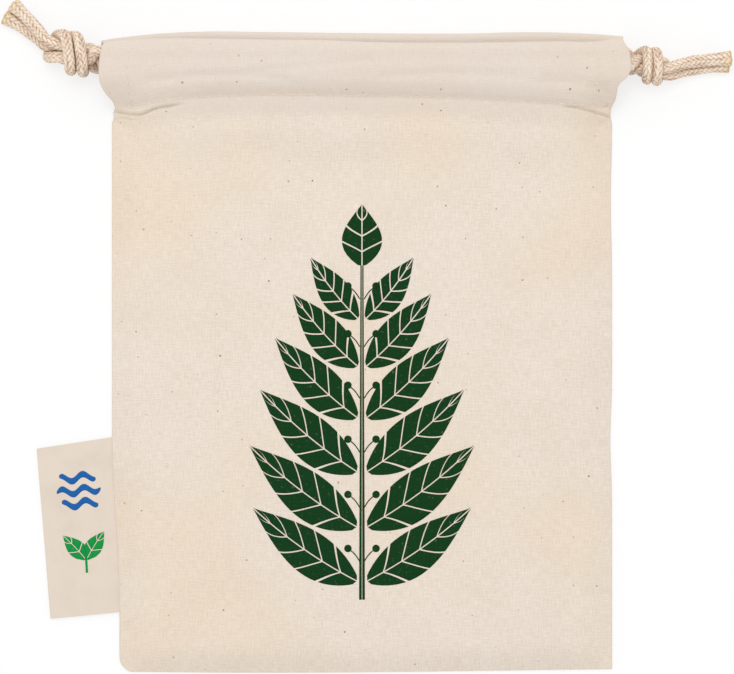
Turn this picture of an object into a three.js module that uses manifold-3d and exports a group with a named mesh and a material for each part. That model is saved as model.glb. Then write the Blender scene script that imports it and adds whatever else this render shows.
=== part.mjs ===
// Drawstring bag of unbleached cotton, lying flat with its front up.
// Millimetres. +X runs along the mouth, +Y from the bottom fold to the mouth, +Z up from the surface
// that the bag lies on. The origin is the middle of the back panel's underside.

import * as THREE from "three";
import { mergeVertices } from "three/addons/utils/BufferGeometryUtils.js";
import Module from "manifold-3d";

const wasm = await Module();
wasm.setup();

// Driving dimensions: the cloth
const CLOTH = 0.5; // thickness of one layer
const GAP = 0.3; // left between layers that touch
const BAG_WIDTH = 200;
const BAG_HEIGHT = 255.4; // from the bottom fold to the back casing's top edge
const POCKET_FILL = 4.9; // how far the front stands off the back, where the bag isn't pressed flat
const EDGE_ROUND = 15; // width of the rounding along a side seam
const FOLD_ROUND = 11; // width of the rounding along the bottom fold
const LOWER_SIDE_DRAW = 3; // the left side is drawn in by this much beside the label
const CORNER_RADIUS = 6; // bottom left corner, the right one is folded sharp
const FOLD_SAG = 0.9; // waviness of the bottom fold
const RISE_START = 0.7; // share of the stitches' height where the front starts rising to its casing
const CORNER_RISE = 5; // beside the slits it starts this far below them

// Driving dimensions: the mouth
const CASING_DEPTH = 26.7; // from the row of stitches under both casings to the back casing's top edge
const FRONT_STEP = 4.8; // the front casing's top edge is this much lower
const MOUTH_GAP = 4.4; // between the two casings
const SHOULDER_ROOM = 1.8; // a casing has its full height from this far below the lower cord
const SHOULDER_BELLY = 0.45; // share of the shoulder's run that its bend's control point stands in
const EDGE_CREASE = 0.1; // between a casing's two layers where they are stitched together
const HEM_WIDTH = 12.5; // turned in at each end of a casing
const FLARE = 6.6; // how far a casing's end reaches past the side seam
const SLIT_DROP = 2.6; // the side seams end and the slits start this far below the stitches
const FLARE_HEIGHT = 11; // from the slit's bottom to the full flare
const FLARE_BELLY = 0.35; // share of the flare that its curve's control point stands out
const END_ROUND = [3, 5]; // width and height of the rounding at a casing's upper corners
const CORNER_DROP_WIDTH = 17; // the front casing's lower edge comes down to the seam over this width
const CORNER_DROP = 2.5; // and ends this far under the back casing's top at the slits
const BEND_ROOM = 9.5; // inner layer cut back from each end, for the cord's return bend
const RELIEF_FOOT = 2; // the cut starts this far above the stitches
const HEM_THICKNESS = 0.4;
const HEM_SETBACK = 0.5; // hem behind the casing's end
const HEM_MARGIN = 0.7; // hem's upper end below the rounding of the casing's fold

// Driving dimensions: the side seams
const SEAM_HEIGHT = 1.1; // inside height at the seam line
const ALLOWANCE = 7; // seam allowance inside the bag
const SEAM_INSET = 1.6; // the allowances start this far in from the seam line

// Driving dimensions: the label
const LABEL_WIDTH = 30;
const LABEL_LENGTH = 70;
const LABEL_LIFT = 23.3; // from the bottom fold to the label's lower end
const LABEL_PLY = 0.3;
const LABEL_HEIGHT = 0.2; // underside of the label above the surface
const LABEL_ROOT = 0.7; // clear of the seam it hangs from
const LABEL_SKEW = 2.4; // the outer edge is this much lower than the root

// Driving dimensions: the drawcords
const CORD_DIAMETER = 4.4;
const CORD_SIDES = 8;
const STATIONS_PER_POINT = 2; // rings of the cord between two points of its route
const BEND_STEPS = 12;
const CORD_CLEARANCE = 0.1; // from the casing's inner layer
const RUN_GAP = 1.6; // between the two cords that lie side by side in each casing
const BEND_INSET = 3; // return bend's crown behind the casing's end
const RUN_INSET = 2.5; // the run ends this far inside the casing's end
const STRAIGHT_EXIT = 0.3; // a cord leaves its run straight for this many diameters

const SIDE = BAG_WIDTH / 2;
const BAG_BOTTOM = -BAG_HEIGHT / 2;
const BACK_FOLD = BAG_HEIGHT / 2;
const FRONT_FOLD = BACK_FOLD - FRONT_STEP;
const STITCH_LINE = BACK_FOLD - CASING_DEPTH;
const SLIT_BOTTOM = STITCH_LINE - SLIT_DROP;
const LABEL_BOTTOM = BAG_BOTTOM + LABEL_LIFT;
const LABEL_TOP = LABEL_BOTTOM + LABEL_LENGTH;
const CORD_RADIUS = CORD_DIAMETER / 2;
const CHANNEL = CORD_DIAMETER + CORD_CLEARANCE + HEM_THICKNESS + 2 * GAP; // clear height in a casing
const CASING_HEIGHT = CHANNEL + 2 * CLOTH;
const FRONT_BASE = CASING_HEIGHT + MOUTH_GAP; // underside of the front casing
const CORNER_HEIGHT = CASING_HEIGHT - CORNER_DROP;
const CASING_END = SIDE + FLARE;
const FRONT_RUN_Z = FRONT_BASE + CLOTH + CORD_CLEARANCE + CORD_RADIUS;
const BACK_RUN_Z = CASING_HEIGHT - CLOTH - CORD_CLEARANCE - CORD_RADIUS;
const RUN_END = CASING_END - RUN_INSET;
const UPPER_RUN = FRONT_FOLD - CASING_HEIGHT / 2 - RUN_GAP / 2;
const LOWER_RUN = UPPER_RUN - CORD_DIAMETER - RUN_GAP;
const CASING_SHOULDER = LOWER_RUN - CORD_RADIUS - SHOULDER_ROOM - STITCH_LINE;

const smooth = (t) => {
  const c = Math.min(Math.max(t, 0), 1);
  return c * c * (3 - 2 * c);
};
const quarter = (t) => Math.sin((Math.PI / 2) * Math.min(Math.max(t, 0), 1));
const mix = (a, b, t) => a + (b - a) * t;

const COTTON = { color: 0xebddcc, roughness: 0.95, metalness: 0 };
const TAPE = { color: 0xe3d6c8, roughness: 0.8, metalness: 0 };
const CORD = { color: 0xd8bda2, roughness: 0.95, metalness: 0 };

const bag = new THREE.Group();

/** Adds a geometry to the bag as a named sub-part. */
function part(name, geometry, finish) {
  geometry.computeVertexNormals();
  const mesh = new THREE.Mesh(geometry, new THREE.MeshStandardMaterial(finish));
  mesh.name = name;
  bag.add(mesh);
  return mesh;
}

/** A geometry with only positions, its shared vertices merged. */
function welded(geometry) {
  const bare = geometry.clone();
  bare.deleteAttribute("normal");
  bare.deleteAttribute("uv");
  return mergeVertices(bare, 1e-4);
}

/** A closed geometry as a solid for cutting. */
function solidOf(geometry) {
  const merged = welded(geometry);
  return new wasm.Manifold(new wasm.Mesh({
    numProp: 3,
    vertProperties: new Float32Array(merged.attributes.position.array),
    triVerts: new Uint32Array(merged.index.array),
  }));
}

/** A cut solid back as a geometry. */
function geometryOf(solid) {
  const mesh = solid.getMesh();
  const geometry = new THREE.BufferGeometry();
  const step = mesh.numProp;
  const count = mesh.vertProperties.length / step;
  const positions = new Float32Array(count * 3);
  for (let i = 0; i < count; i++) {
    for (let k = 0; k < 3; k++) positions[3 * i + k] = mesh.vertProperties[step * i + k];
  }
  geometry.setAttribute("position", new THREE.BufferAttribute(positions, 3));
  geometry.setIndex(new THREE.BufferAttribute(new Uint32Array(mesh.triVerts), 1));
  return geometry;
}

/** Moves every vertex of a geometry by a rule that takes and changes a Vector3. */
function warp(geometry, rule) {
  const place = geometry.attributes.position;
  const point = new THREE.Vector3();
  for (let i = 0; i < place.count; i++) {
    rule(point.fromBufferAttribute(place, i));
    place.setXYZ(i, point.x, point.y, point.z);
  }
  return geometry;
}

/** A sheet of cloth as a closed solid: at(s, t) gives its lower face, and its thickness goes up. */
function sheet(at, columns, rows, thickness) {
  const positions = [];
  const index = [];
  const row = columns + 1;
  const layer = row * (rows + 1);
  for (const lift of [0, thickness]) {
    for (let j = 0; j <= rows; j++) {
      for (let i = 0; i <= columns; i++) {
        const p = at(i / columns, j / rows);
        positions.push(p.x, p.y, p.z + lift);
      }
    }
  }
  const quad = (a, b, c, d) => index.push(a, b, c, a, c, d);
  for (let j = 0; j < rows; j++) {
    for (let i = 0; i < columns; i++) {
      const a = j * row + i;
      quad(a, a + row, a + row + 1, a + 1);
      quad(layer + a, layer + a + 1, layer + a + row + 1, layer + a + row);
    }
  }
  const wall = (a, b) => quad(a, b, layer + b, layer + a);
  for (let i = 0; i < columns; i++) {
    wall(i, i + 1);
    wall(rows * row + i + 1, rows * row + i);
  }
  for (let j = 0; j < rows; j++) {
    wall((j + 1) * row, j * row);
    wall(j * row + columns, (j + 1) * row + columns);
  }
  const geometry = new THREE.BufferGeometry();
  geometry.setAttribute("position", new THREE.Float32BufferAttribute(positions, 3));
  geometry.setIndex(index);
  return geometry;
}

// Bag body

/** Height of the bottom fold at x: it sags a little left of the middle. */
const foldY = (x) => BAG_BOTTOM - FOLD_SAG * Math.cos((Math.PI * (x + BAG_WIDTH / 5)) / BAG_WIDTH);

/** Left edge of the body at height y. */
function leftEdge(y) {
  const drawn = LOWER_SIDE_DRAW * smooth((LABEL_TOP - y) / (LABEL_TOP - LABEL_BOTTOM));
  const over = CORNER_RADIUS - (y - foldY(-SIDE));
  if (over <= 0) return -SIDE + drawn;
  const inset = CORNER_RADIUS - Math.sqrt(Math.max(CORNER_RADIUS ** 2 - over ** 2, 0));
  return -SIDE + drawn + inset;
}

const rightEdge = () => SIDE;

/** Distance inwards from the nearer side seam. */
const inFromSide = (x, y) => Math.min(x - leftEdge(y), rightEdge(y) - x);

/** Underside of the front casing's stitched edge: down at the slits, high between them. */
const casingEdgeZ = (x) =>
  mix(CORNER_HEIGHT, FRONT_BASE, smooth((SIDE - Math.abs(x)) / CORNER_DROP_WIDTH));

/** Inner height of the front panel over the surface. */
function frontHeight(x, y) {
  const side = quarter(inFromSide(x, y) / EDGE_ROUND);
  const fold = quarter((y - foldY(x)) / FOLD_ROUND);
  const belly = SEAM_HEIGHT + POCKET_FILL * side * fold;
  const top = STITCH_LINE - CLOTH - GAP;
  const inwards = smooth(inFromSide(x, y) / CORNER_DROP_WIDTH);
  const start = mix(SLIT_BOTTOM - CORNER_RISE, RISE_START * STITCH_LINE, inwards);
  return mix(belly, casingEdgeZ(x), smooth((y - start) / (top - start)));
}

/** Point of the body's outline grid. */
function bodyPoint(s, t, height) {
  const spread = 0.5 - 0.5 * Math.cos(Math.PI * s); // columns crowd towards the seams
  const rowT = t < 0.5 ? 2 * t * t : 1 - 2 * (1 - t) * (1 - t); // rows crowd towards both ends
  let x = mix(-SIDE, SIDE, spread);
  const y = mix(foldY(x), STITCH_LINE - CLOTH - GAP, rowT);
  x = mix(leftEdge(y), rightEdge(y), spread);
  return new THREE.Vector3(x, Math.max(y, foldY(x)), height(x, y));
}

part("front_panel", sheet((s, t) => bodyPoint(s, t, frontHeight), 20, 20, CLOTH), COTTON);
part("back_panel", sheet((s, t) => bodyPoint(s, t, () => 0), 14, 14, CLOTH), COTTON);

/** Overlocked allowances of one side seam, lying inside the bag on the back panel. */
function sideSeam(edge, inwards) {
  const at = (s, t) => {
    const y = mix(BAG_BOTTOM + CORNER_RADIUS, SLIT_BOTTOM, t);
    const inset = SEAM_INSET + ALLOWANCE * (inwards > 0 ? s : 1 - s);
    return new THREE.Vector3(edge(y) + inwards * inset, y, CLOTH + GAP);
  };
  return sheet(at, 2, 12, CLOTH);
}

part("left_side_seam", sideSeam(leftEdge, 1), COTTON);
part("right_side_seam", sideSeam(rightEdge, -1), COTTON);

// Casings

const MIDDLE_SHARE = 0.25; // of a casing's steps, between its two dropping ends
const FRONT_STEPS = 16; // steps along the front casing
const BACK_STEPS = 2;
const FACING_ROWS = 5; // rows of points on the inner layer below the cords
const EDGE_TAPER = 3.6; // how much faster than its upper end the bend's stitched end moves in
const EDGE_FOLLOW = 0.9; // and how far it comes down for each unit that it moves in

/** Control points of the bend from a casing's full height down to its stitches, inset by this much. */
const shoulderBend = (inset) => [
  [CASING_SHOULDER + inset, CASING_HEIGHT - inset],
  [SHOULDER_BELLY * CASING_SHOULDER + inset, CASING_HEIGHT - inset],
  [EDGE_TAPER * inset - CLOTH, 2 * CLOTH + EDGE_CREASE - EDGE_FOLLOW * inset],
].map(([above, z]) => new THREE.Vector2(STITCH_LINE + above, z));

/** Cross-section of a casing in the YZ plane, its lower edge at the stitch line, as a closed loop. */
function casingSection(loop, fold, inset) {
  const low = inset;
  const high = CASING_HEIGHT - inset;
  const radius = (high - low) / 2;
  const [shoulder, bend, edge] = shoulderBend(inset);
  const round = fold - inset - radius;
  loop.moveTo(edge.x, low);
  const bendTo = LOWER_RUN - CORD_RADIUS;
  for (let i = 1; i <= FACING_ROWS; i++) loop.lineTo(mix(edge.x, bendTo, i / FACING_ROWS), low);
  loop.lineTo(round, low);
  loop.absarc(round, low + radius, radius, -Math.PI / 2, Math.PI / 2, false);
  loop.lineTo(shoulder.x, shoulder.y);
  loop.quadraticCurveTo(bend.x, bend.y, edge.x, edge.y);
  loop.closePath();
  return loop;
}

/** A profile in the YZ plane, drawn out along X from one x to another. */
function alongX(shape, from, to, steps) {
  const geometry = new THREE.ExtrudeGeometry(shape, {
    depth: to - from, steps, bevelEnabled: false, curveSegments: 6,
  });
  return warp(geometry, (p) => p.set(p.z + from, p.x, p.y));
}

/** Maps -1 to 1 onto a casing's length, with most of the steps at its two ends. */
function casingX(u) {
  const level = SIDE - CORNER_DROP_WIDTH;
  const share = Math.abs(u) / MIDDLE_SHARE;
  const beyond = (Math.abs(u) - MIDDLE_SHARE) / (1 - MIDDLE_SHARE);
  return Math.sign(u) * (share < 1 ? level * share : mix(level, CASING_END + 1, beyond));
}

/** Plan outline of a casing: it flares past the side seams above the slits, to round corners. */
function casingPlan(fold) {
  const plan = new THREE.Shape();
  const foot = STITCH_LINE - 2 * CLOTH;
  const shoulder = SLIT_BOTTOM + FLARE_HEIGHT;
  const belly = [SIDE + FLARE_BELLY * FLARE, (foot + shoulder) / 2];
  const [width, height] = END_ROUND;
  plan.moveTo(-SIDE, foot);
  plan.lineTo(SIDE, foot);
  plan.quadraticCurveTo(...belly, CASING_END, shoulder);
  plan.lineTo(CASING_END, fold - height);
  plan.quadraticCurveTo(CASING_END, fold, CASING_END - width, fold + CLOTH);
  plan.lineTo(width - CASING_END, fold + CLOTH);
  plan.quadraticCurveTo(-CASING_END, fold, -CASING_END, fold - height);
  plan.lineTo(-CASING_END, shoulder);
  plan.quadraticCurveTo(-belly[0], belly[1], -SIDE, foot);
  return plan;
}

/** The front casing's lower edge comes down towards the slits; the cords' channel stays level. */
function cornerDrop(p) {
  const share = 1 - smooth((p.y - STITCH_LINE) / (LOWER_RUN - CORD_RADIUS - STITCH_LINE));
  const above = p.z - FRONT_BASE;
  p.z = mix(p.z, casingEdgeZ(p.x) + above, share);
}

/** The plan outline as a tall solid, shifted along X. */
function planSolid(fold, shift) {
  const plan = new THREE.ExtrudeGeometry(casingPlan(fold), {
    depth: 3 * FRONT_BASE, bevelEnabled: false, curveSegments: 8,
  });
  return solidOf(plan.translate(shift, 0, -FRONT_BASE));
}

/** One casing: a tube of cloth along the mouth, open at both ends for the cords. */
function casing(fold, isFront) {
  const section = casingSection(new THREE.Shape(), fold, 0);
  section.holes.push(casingSection(new THREE.Path(), fold, CLOTH));
  const steps = isFront ? FRONT_STEPS : BACK_STEPS;
  const level = warp(alongX(section, -1, 1, steps), (p) => p.setX(casingX(p.x)));
  let tube = solidOf(level);
  const innerLayer = isFront ? 0 : CASING_HEIGHT;
  for (const side of [1, -1]) {
    const relief = new THREE.BoxGeometry(2 * BEND_ROOM, 2 * fold, 3 * CLOTH);
    relief.translate(side * CASING_END, STITCH_LINE + RELIEF_FOOT + fold, innerLayer);
    tube = tube.subtract(solidOf(relief));
  }
  if (isFront) tube = solidOf(warp(geometryOf(tube).translate(0, 0, FRONT_BASE), cornerDrop));
  return geometryOf(tube.intersect(planSolid(fold, 0)));
}

part("front_casing", casing(FRONT_FOLD, true), COTTON);
part("back_casing", casing(BACK_FOLD, false), COTTON);

const HEM_FOOT = 0.5; // how far down the shoulder's bend a slit hem reaches, from 0 to 1
const HEM_ROWS = 5;

/** Section of a slit hem in the YZ plane: it follows the inside of the casing's outer layer. */
function hemSection(fold, isFront) {
  const end = fold - CASING_HEIGHT / 2 - HEM_MARGIN;
  const outer = CLOTH + GAP;
  const inner = outer + HEM_THICKNESS;
  if (!isFront) {
    const foot = mix(STITCH_LINE, STITCH_LINE + CASING_SHOULDER, HEM_FOOT);
    return new THREE.Shape([[foot, outer], [end, outer], [end, inner], [foot, inner]]
      .map(([y, z]) => new THREE.Vector2(y, z)));
  }
  const bend = (inset) => {
    const curve = new THREE.QuadraticBezierCurve(...shoulderBend(inset));
    return Array.from({ length: HEM_ROWS + 1 }, (_, i) => curve.getPoint((HEM_FOOT * i) / HEM_ROWS));
  };
  return new THREE.Shape([
    ...bend(outer).reverse(),
    new THREE.Vector2(end, CASING_HEIGHT - outer),
    new THREE.Vector2(end, CASING_HEIGHT - inner),
    ...bend(inner),
  ]);
}

/** The cloth turned in at one end of a casing. */
function slitHem(fold, isFront, side) {
  const inner = side * (CASING_END - HEM_WIDTH);
  const ends = [inner, side * CASING_END].sort((a, b) => a - b);
  const raw = alongX(hemSection(fold, isFront), ...ends, 4);
  const placed = isFront ? warp(raw.translate(0, 0, FRONT_BASE), cornerDrop) : raw;
  return geometryOf(solidOf(placed).intersect(planSolid(fold, -side * HEM_SETBACK)));
}

for (const [name, side] of [["left", -1], ["right", 1]]) {
  part(`${name}_front_slit_hem`, slitHem(FRONT_FOLD, true, side), COTTON);
  part(`${name}_back_slit_hem`, slitHem(BACK_FOLD, false, side), COTTON);
}

// Side label: a tape folded double, its fold away from the bag

/** The label's two plies and their fold in the XZ plane, drawn along the seam and leaned with it. */
function label() {
  const ply = new THREE.Shape();
  const height = 3 * LABEL_PLY;
  const outer = -LABEL_WIDTH + height / 2;
  ply.moveTo(0, 0);
  ply.lineTo(outer, 0);
  ply.absarc(outer, height / 2, height / 2, -Math.PI / 2, Math.PI / 2, true);
  ply.lineTo(0, height);
  ply.lineTo(0, height - LABEL_PLY);
  ply.lineTo(outer, height - LABEL_PLY);
  ply.absarc(outer, height / 2, height / 2 - LABEL_PLY, Math.PI / 2, -Math.PI / 2, false);
  ply.lineTo(0, LABEL_PLY);
  ply.closePath();
  const geometry = new THREE.ExtrudeGeometry(ply, {
    depth: LABEL_TOP - LABEL_BOTTOM, steps: 6, bevelEnabled: false, curveSegments: 6,
  });
  return warp(geometry, (p) => {
    const y = LABEL_TOP - p.z;
    p.set(leftEdge(y) - LABEL_ROOT + p.x, y + (LABEL_SKEW * p.x) / LABEL_WIDTH, p.y + LABEL_HEIGHT);
  });
}

part("side_label", label(), TAPE);

// Drawcords

/** A round cord through a list of stations, as one closed solid; radii has one value a station. */
function cordSolid(stations, radii) {
  const positions = [];
  const index = [];
  const last = stations.length - 1;
  const ahead = new THREE.Vector3();
  const normal = new THREE.Vector3(0, 0, 1);
  const binormal = new THREE.Vector3();
  stations.forEach((centre, k) => {
    ahead.subVectors(stations[Math.min(k + 1, last)], stations[Math.max(k - 1, 0)]).normalize();
    normal.addScaledVector(ahead, -normal.dot(ahead)).normalize();
    binormal.crossVectors(ahead, normal);
    for (let i = 0; i < CORD_SIDES; i++) {
      const turn = (2 * Math.PI * i) / CORD_SIDES;
      const rim = centre.clone()
        .addScaledVector(normal, radii[k] * Math.cos(turn))
        .addScaledVector(binormal, radii[k] * Math.sin(turn));
      positions.push(...rim.toArray());
    }
  });
  for (let k = 0; k < last; k++) {
    for (let i = 0; i < CORD_SIDES; i++) {
      const a = k * CORD_SIDES + i;
      const b = k * CORD_SIDES + ((i + 1) % CORD_SIDES);
      index.push(a, b, b + CORD_SIDES, a, b + CORD_SIDES, a + CORD_SIDES);
    }
  }
  for (const [ring, centre] of [[0, stations[0]], [last, stations[last]]]) {
    const hub = positions.length / 3;
    positions.push(...centre.toArray());
    for (let i = 0; i < CORD_SIDES; i++) {
      const a = ring * CORD_SIDES + i;
      const b = ring * CORD_SIDES + ((i + 1) % CORD_SIDES);
      index.push(...(ring === 0 ? [hub, b, a] : [hub, a, b]));
    }
  }
  const geometry = new THREE.BufferGeometry();
  geometry.setAttribute("position", new THREE.Float32BufferAttribute(positions, 3));
  geometry.setIndex(index);
  return geometry;
}

// Doubled overhand knot, in units of its strand spacing. u runs outwards along the knot, v across it
// and w up. Two strands enter side by side through the core, leave it at the outer end, wrap once
// round everything towards the inner end and go out again through the core. The knot looks the same
// after a half turn about w, so the way out is the way in, turned round and run backwards.

const CORE = 0.5; // the four core passes lie at v and w of plus and minus this
const WRAP = 1.5; // half height and half width of the wrap's path
const WRAP_SQUARENESS = 3.2; // exponent of the wrap's superellipse
const WRAP_REACH = 156; // degrees of wrap each side of its top
const WRAP_STEPS = 14;
const WRAP_TOP = 0.55; // u of the two wraps' tops, plus and minus
const WRAP_CLIMB = 1; // u from a wrap's top to its foot

const UPPER_NECK = [[-1.6, -0.25, 0.78], [-1.05, -0.46, 0.5]];
const UPPER_TURN = [
  [-0.4, -CORE, CORE], [0.4, -CORE, CORE], [1.15, -0.54, 0.38],
  [1.7, -0.6, -0.15], [1.92, -0.54, -0.85], [1.76, -0.16, -1.4],
];
const LOWER_NECK = [[-2.1, -0.86, -0.85], [-1.6, -0.6, -0.6], [-1.2, -0.5, -0.5]];
const LOWER_TURN = [
  [-0.8, -CORE, -CORE], [-0.1, -CORE, -CORE], [0.34, -0.55, -0.68],
  [0.58, -CORE, -1.08], [0.62, -0.12, -1.44],
];

/** Points of the wrap for the strand that lies at this u on the knot's top; ease leans it there. */
function wrapPoints(topU, ease) {
  const points = [];
  const foot = Math.sin(THREE.MathUtils.degToRad(WRAP_REACH) / 2);
  for (let i = 0; i <= WRAP_STEPS; i++) {
    const degrees = mix(WRAP_REACH, -WRAP_REACH, i / WRAP_STEPS);
    const angle = THREE.MathUtils.degToRad(degrees);
    const v = Math.sin(angle);
    const w = Math.cos(angle);
    const power = Math.abs(v) ** WRAP_SQUARENESS + Math.abs(w) ** WRAP_SQUARENESS;
    const reach = WRAP / power ** (1 / WRAP_SQUARENESS);
    const climb = WRAP_CLIMB * mix(degrees / WRAP_REACH, Math.sin(angle / 2) / foot, ease);
    points.push([topU + climb, reach * v, reach * w]);
  }
  return points;
}

const turnedRound = (points) => points.map(([u, v, w]) => [-u, -v, w]).reverse();

/** One strand's way through the knot, from its neck to its tail. */
function knotStrand(isUpper, ease) {
  const neck = isUpper ? UPPER_NECK : LOWER_NECK;
  const turn = isUpper ? UPPER_TURN : LOWER_TURN;
  const wayOut = turnedRound(isUpper ? LOWER_TURN : UPPER_TURN);
  return [...neck, ...turn, ...wrapPoints(isUpper ? WRAP_TOP : -WRAP_TOP, ease), ...wayOut];
}

// Everything that makes one drawcord: the side that its knot is on, and the height of its two runs.
// The knot's middle stands out from the casing's end and up from the middle between the runs, both in
// strand spacings, and sit is how far its wraps reach below it. Spacing is in cord diameters, rise and
// roll are in degrees. The tails' points are in cord diameters: out and up from the knot's middle, and
// over the surface.
const DRAWCORDS = {
  left: {
    side: -1,
    frontRun: UPPER_RUN,
    backRun: LOWER_RUN,
    knot: {
      out: 1.98, up: 0.59, spacing: 1, across: 1, rise: 8, lean: 0.25, roll: 0, sit: 1.5, ease: 0.6,
    },
    upperTail: [
      [2.15, 1.08, 2.3], [3, 2.02, 1.88], [3.85, 2.96, 1.45], [4.75, 3.85, 1.05], [5.3, 4.35, 0.85],
    ],
    lowerTail: [[2.2, 0.6, 1.2], [3.2, 1.4, 0.85], [4.3, 2.25, 0.62], [5.4, 2.95, 0.54], [6.1, 3.35, 0.52]],
  },
  right: {
    side: 1,
    frontRun: LOWER_RUN,
    backRun: UPPER_RUN,
    knot: {
      out: 2.3, up: -0.65, spacing: 0.78, across: -1, rise: -8, lean: -0.15, roll: 12, sit: 1.6, ease: -1,
    },
    upperTail: [[1.75, -0.2, 2.2], [3, 0.18, 1.9], [4.4, 0.42, 1.58], [6, 0.58, 1.47], [7.25, 0.66, 1.47]],
    lowerTail: [[1.75, -0.85, 1.3], [3, -0.5, 0.88], [4.4, -0.2, 0.6], [6, 0.02, 0.53], [7.1, 0.12, 0.53]],
  },
};

const KNOT_TIGHTNESS = 0.46; // cord radius over strand spacing, where the knot squeezes it
const FLOOR_CLEARANCE = 0.05;
const EASE_START = 0.5; // route points outside the knot where a cord starts to fill out again
const EASE_LENGTH = 1.5; // and over how many more it does

/** Middle of a drawcord's knot. */
function knotMiddle({ side, frontRun, backRun, knot }) {
  const spacing = knot.spacing * CORD_DIAMETER;
  return new THREE.Vector3(
    side * (CASING_END + knot.out * spacing),
    (frontRun + backRun) / 2 + knot.up * spacing,
    FLOOR_CLEARANCE + (knot.sit + KNOT_TIGHTNESS) * spacing,
  );
}

/** Places points of the knot's own frame in the bag's. */
function knotPlace(drawcord) {
  const { side, knot } = drawcord;
  const spacing = knot.spacing * CORD_DIAMETER;
  const tilt = THREE.MathUtils.degToRad(knot.rise);
  const outwards = new THREE.Vector3(side * Math.cos(tilt), Math.sin(tilt), 0);
  const sideways = new THREE.Vector3(-side * Math.sin(tilt), Math.cos(tilt), 0).multiplyScalar(knot.across);
  const middle = knotMiddle(drawcord);
  const roll = THREE.MathUtils.degToRad(knot.roll);
  return ([u, v, w]) => middle.clone()
    .add(new THREE.Vector3(0, 0, spacing * (w * Math.cos(roll) + v * Math.sin(roll))))
    .addScaledVector(outwards, spacing * (u - knot.lean * w))
    .addScaledVector(sideways, spacing * (v * Math.cos(roll) - w * Math.sin(roll)));
}

/** A cord's free end: out of a casing, through the knot, to the cut tail. */
function freeEnd(drawcord, isUpper) {
  const { side, frontRun, backRun, knot, upperTail, lowerTail } = drawcord;
  const runY = isUpper ? frontRun : backRun;
  const runZ = isUpper ? FRONT_RUN_Z : BACK_RUN_Z;
  const exit = [0, 0.5, 1].map((share) => new THREE.Vector3(
    side * (RUN_END + GAP + share * STRAIGHT_EXIT * CORD_DIAMETER), runY, runZ,
  ));
  const inKnot = knotStrand(isUpper, knot.ease).map(knotPlace(drawcord));
  const middle = knotMiddle(drawcord);
  // The upper strand leaves the knot at the lower place in the core, and the lower strand above it.
  const tail = (isUpper ? lowerTail : upperTail).map(([out, up, high]) => new THREE.Vector3(
    middle.x + side * out * CORD_DIAMETER, middle.y + up * CORD_DIAMETER, high * CORD_DIAMETER,
  ));
  const route = new THREE.CatmullRomCurve3([...exit, ...inKnot, ...tail], false, "centripetal");
  const count = route.points.length - 1;
  const stations = [];
  const radii = [];
  const squeezed = KNOT_TIGHTNESS * knot.spacing * CORD_DIAMETER;
  const knotStart = exit.length;
  const knotEnd = exit.length + inKnot.length - 1;
  for (let k = 0; k <= count * STATIONS_PER_POINT; k++) {
    const at = k / STATIONS_PER_POINT;
    const outside = Math.max(knotStart - at, at - knotEnd, 0);
    stations.push(route.getPoint(at / count));
    radii.push(mix(squeezed, CORD_RADIUS, smooth((outside - EASE_START) / EASE_LENGTH)));
  }
  return cordSolid(stations, radii);
}

/** A cord's held stretch: through one casing, round the return bend and back through the other. */
function heldLoop({ side, frontRun, backRun }) {
  const front = new THREE.Vector3(side * RUN_END, frontRun, FRONT_RUN_Z);
  const back = new THREE.Vector3(side * RUN_END, backRun, BACK_RUN_Z);
  const bendRadius = front.distanceTo(back) / 2;
  const bendX = -side * (CASING_END - BEND_INSET - bendRadius);
  const middle = front.clone().add(back).multiplyScalar(0.5).setX(bendX);
  const spoke = front.clone().sub(back).multiplyScalar(0.5);
  const stations = [front];
  for (let k = 0; k <= BEND_STEPS; k++) {
    const angle = (Math.PI * k) / BEND_STEPS;
    const crown = new THREE.Vector3(-side * bendRadius * Math.sin(angle), 0, 0);
    stations.push(middle.clone().addScaledVector(spoke, Math.cos(angle)).add(crown));
  }
  stations.push(back);
  return cordSolid(stations, stations.map(() => CORD_RADIUS));
}

for (const [name, drawcord] of Object.entries(DRAWCORDS)) {
  part(`${name}_cord_loop`, heldLoop(drawcord), CORD);
  part(`${name}_cord_front_end`, freeEnd(drawcord, true), CORD);
  part(`${name}_cord_back_end`, freeEnd(drawcord, false), CORD);
}

export default bag;
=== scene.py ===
"""Looks of the drawstring bag: cotton cloth, braided drawcords, sewing, side label and print.

Every length below is in millimetres until a mesh is made, where it becomes metres. +X runs along the
mouth, +Y from the bottom fold to the mouth, +Z up from the surface that the bag lies on.
"""

import logging
import math
from dataclasses import dataclass
from enum import Enum

import bpy
import numpy as np
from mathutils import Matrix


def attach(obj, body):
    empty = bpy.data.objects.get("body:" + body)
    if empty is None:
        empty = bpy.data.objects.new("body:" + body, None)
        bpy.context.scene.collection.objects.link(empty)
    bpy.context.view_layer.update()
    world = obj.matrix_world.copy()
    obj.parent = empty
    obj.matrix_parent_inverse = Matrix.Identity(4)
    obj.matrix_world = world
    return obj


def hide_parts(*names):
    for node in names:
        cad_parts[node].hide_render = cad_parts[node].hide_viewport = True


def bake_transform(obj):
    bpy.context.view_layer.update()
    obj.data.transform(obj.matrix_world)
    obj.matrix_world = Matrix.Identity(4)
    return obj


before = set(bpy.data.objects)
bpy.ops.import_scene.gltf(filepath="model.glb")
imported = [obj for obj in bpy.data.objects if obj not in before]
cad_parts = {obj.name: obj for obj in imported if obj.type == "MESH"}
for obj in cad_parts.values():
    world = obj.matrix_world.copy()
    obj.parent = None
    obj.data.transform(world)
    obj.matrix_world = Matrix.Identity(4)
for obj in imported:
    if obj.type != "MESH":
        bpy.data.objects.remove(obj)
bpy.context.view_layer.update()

LOG = logging.getLogger("drawstring_bag")
METRES = 0.001  # one millimetre

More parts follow.
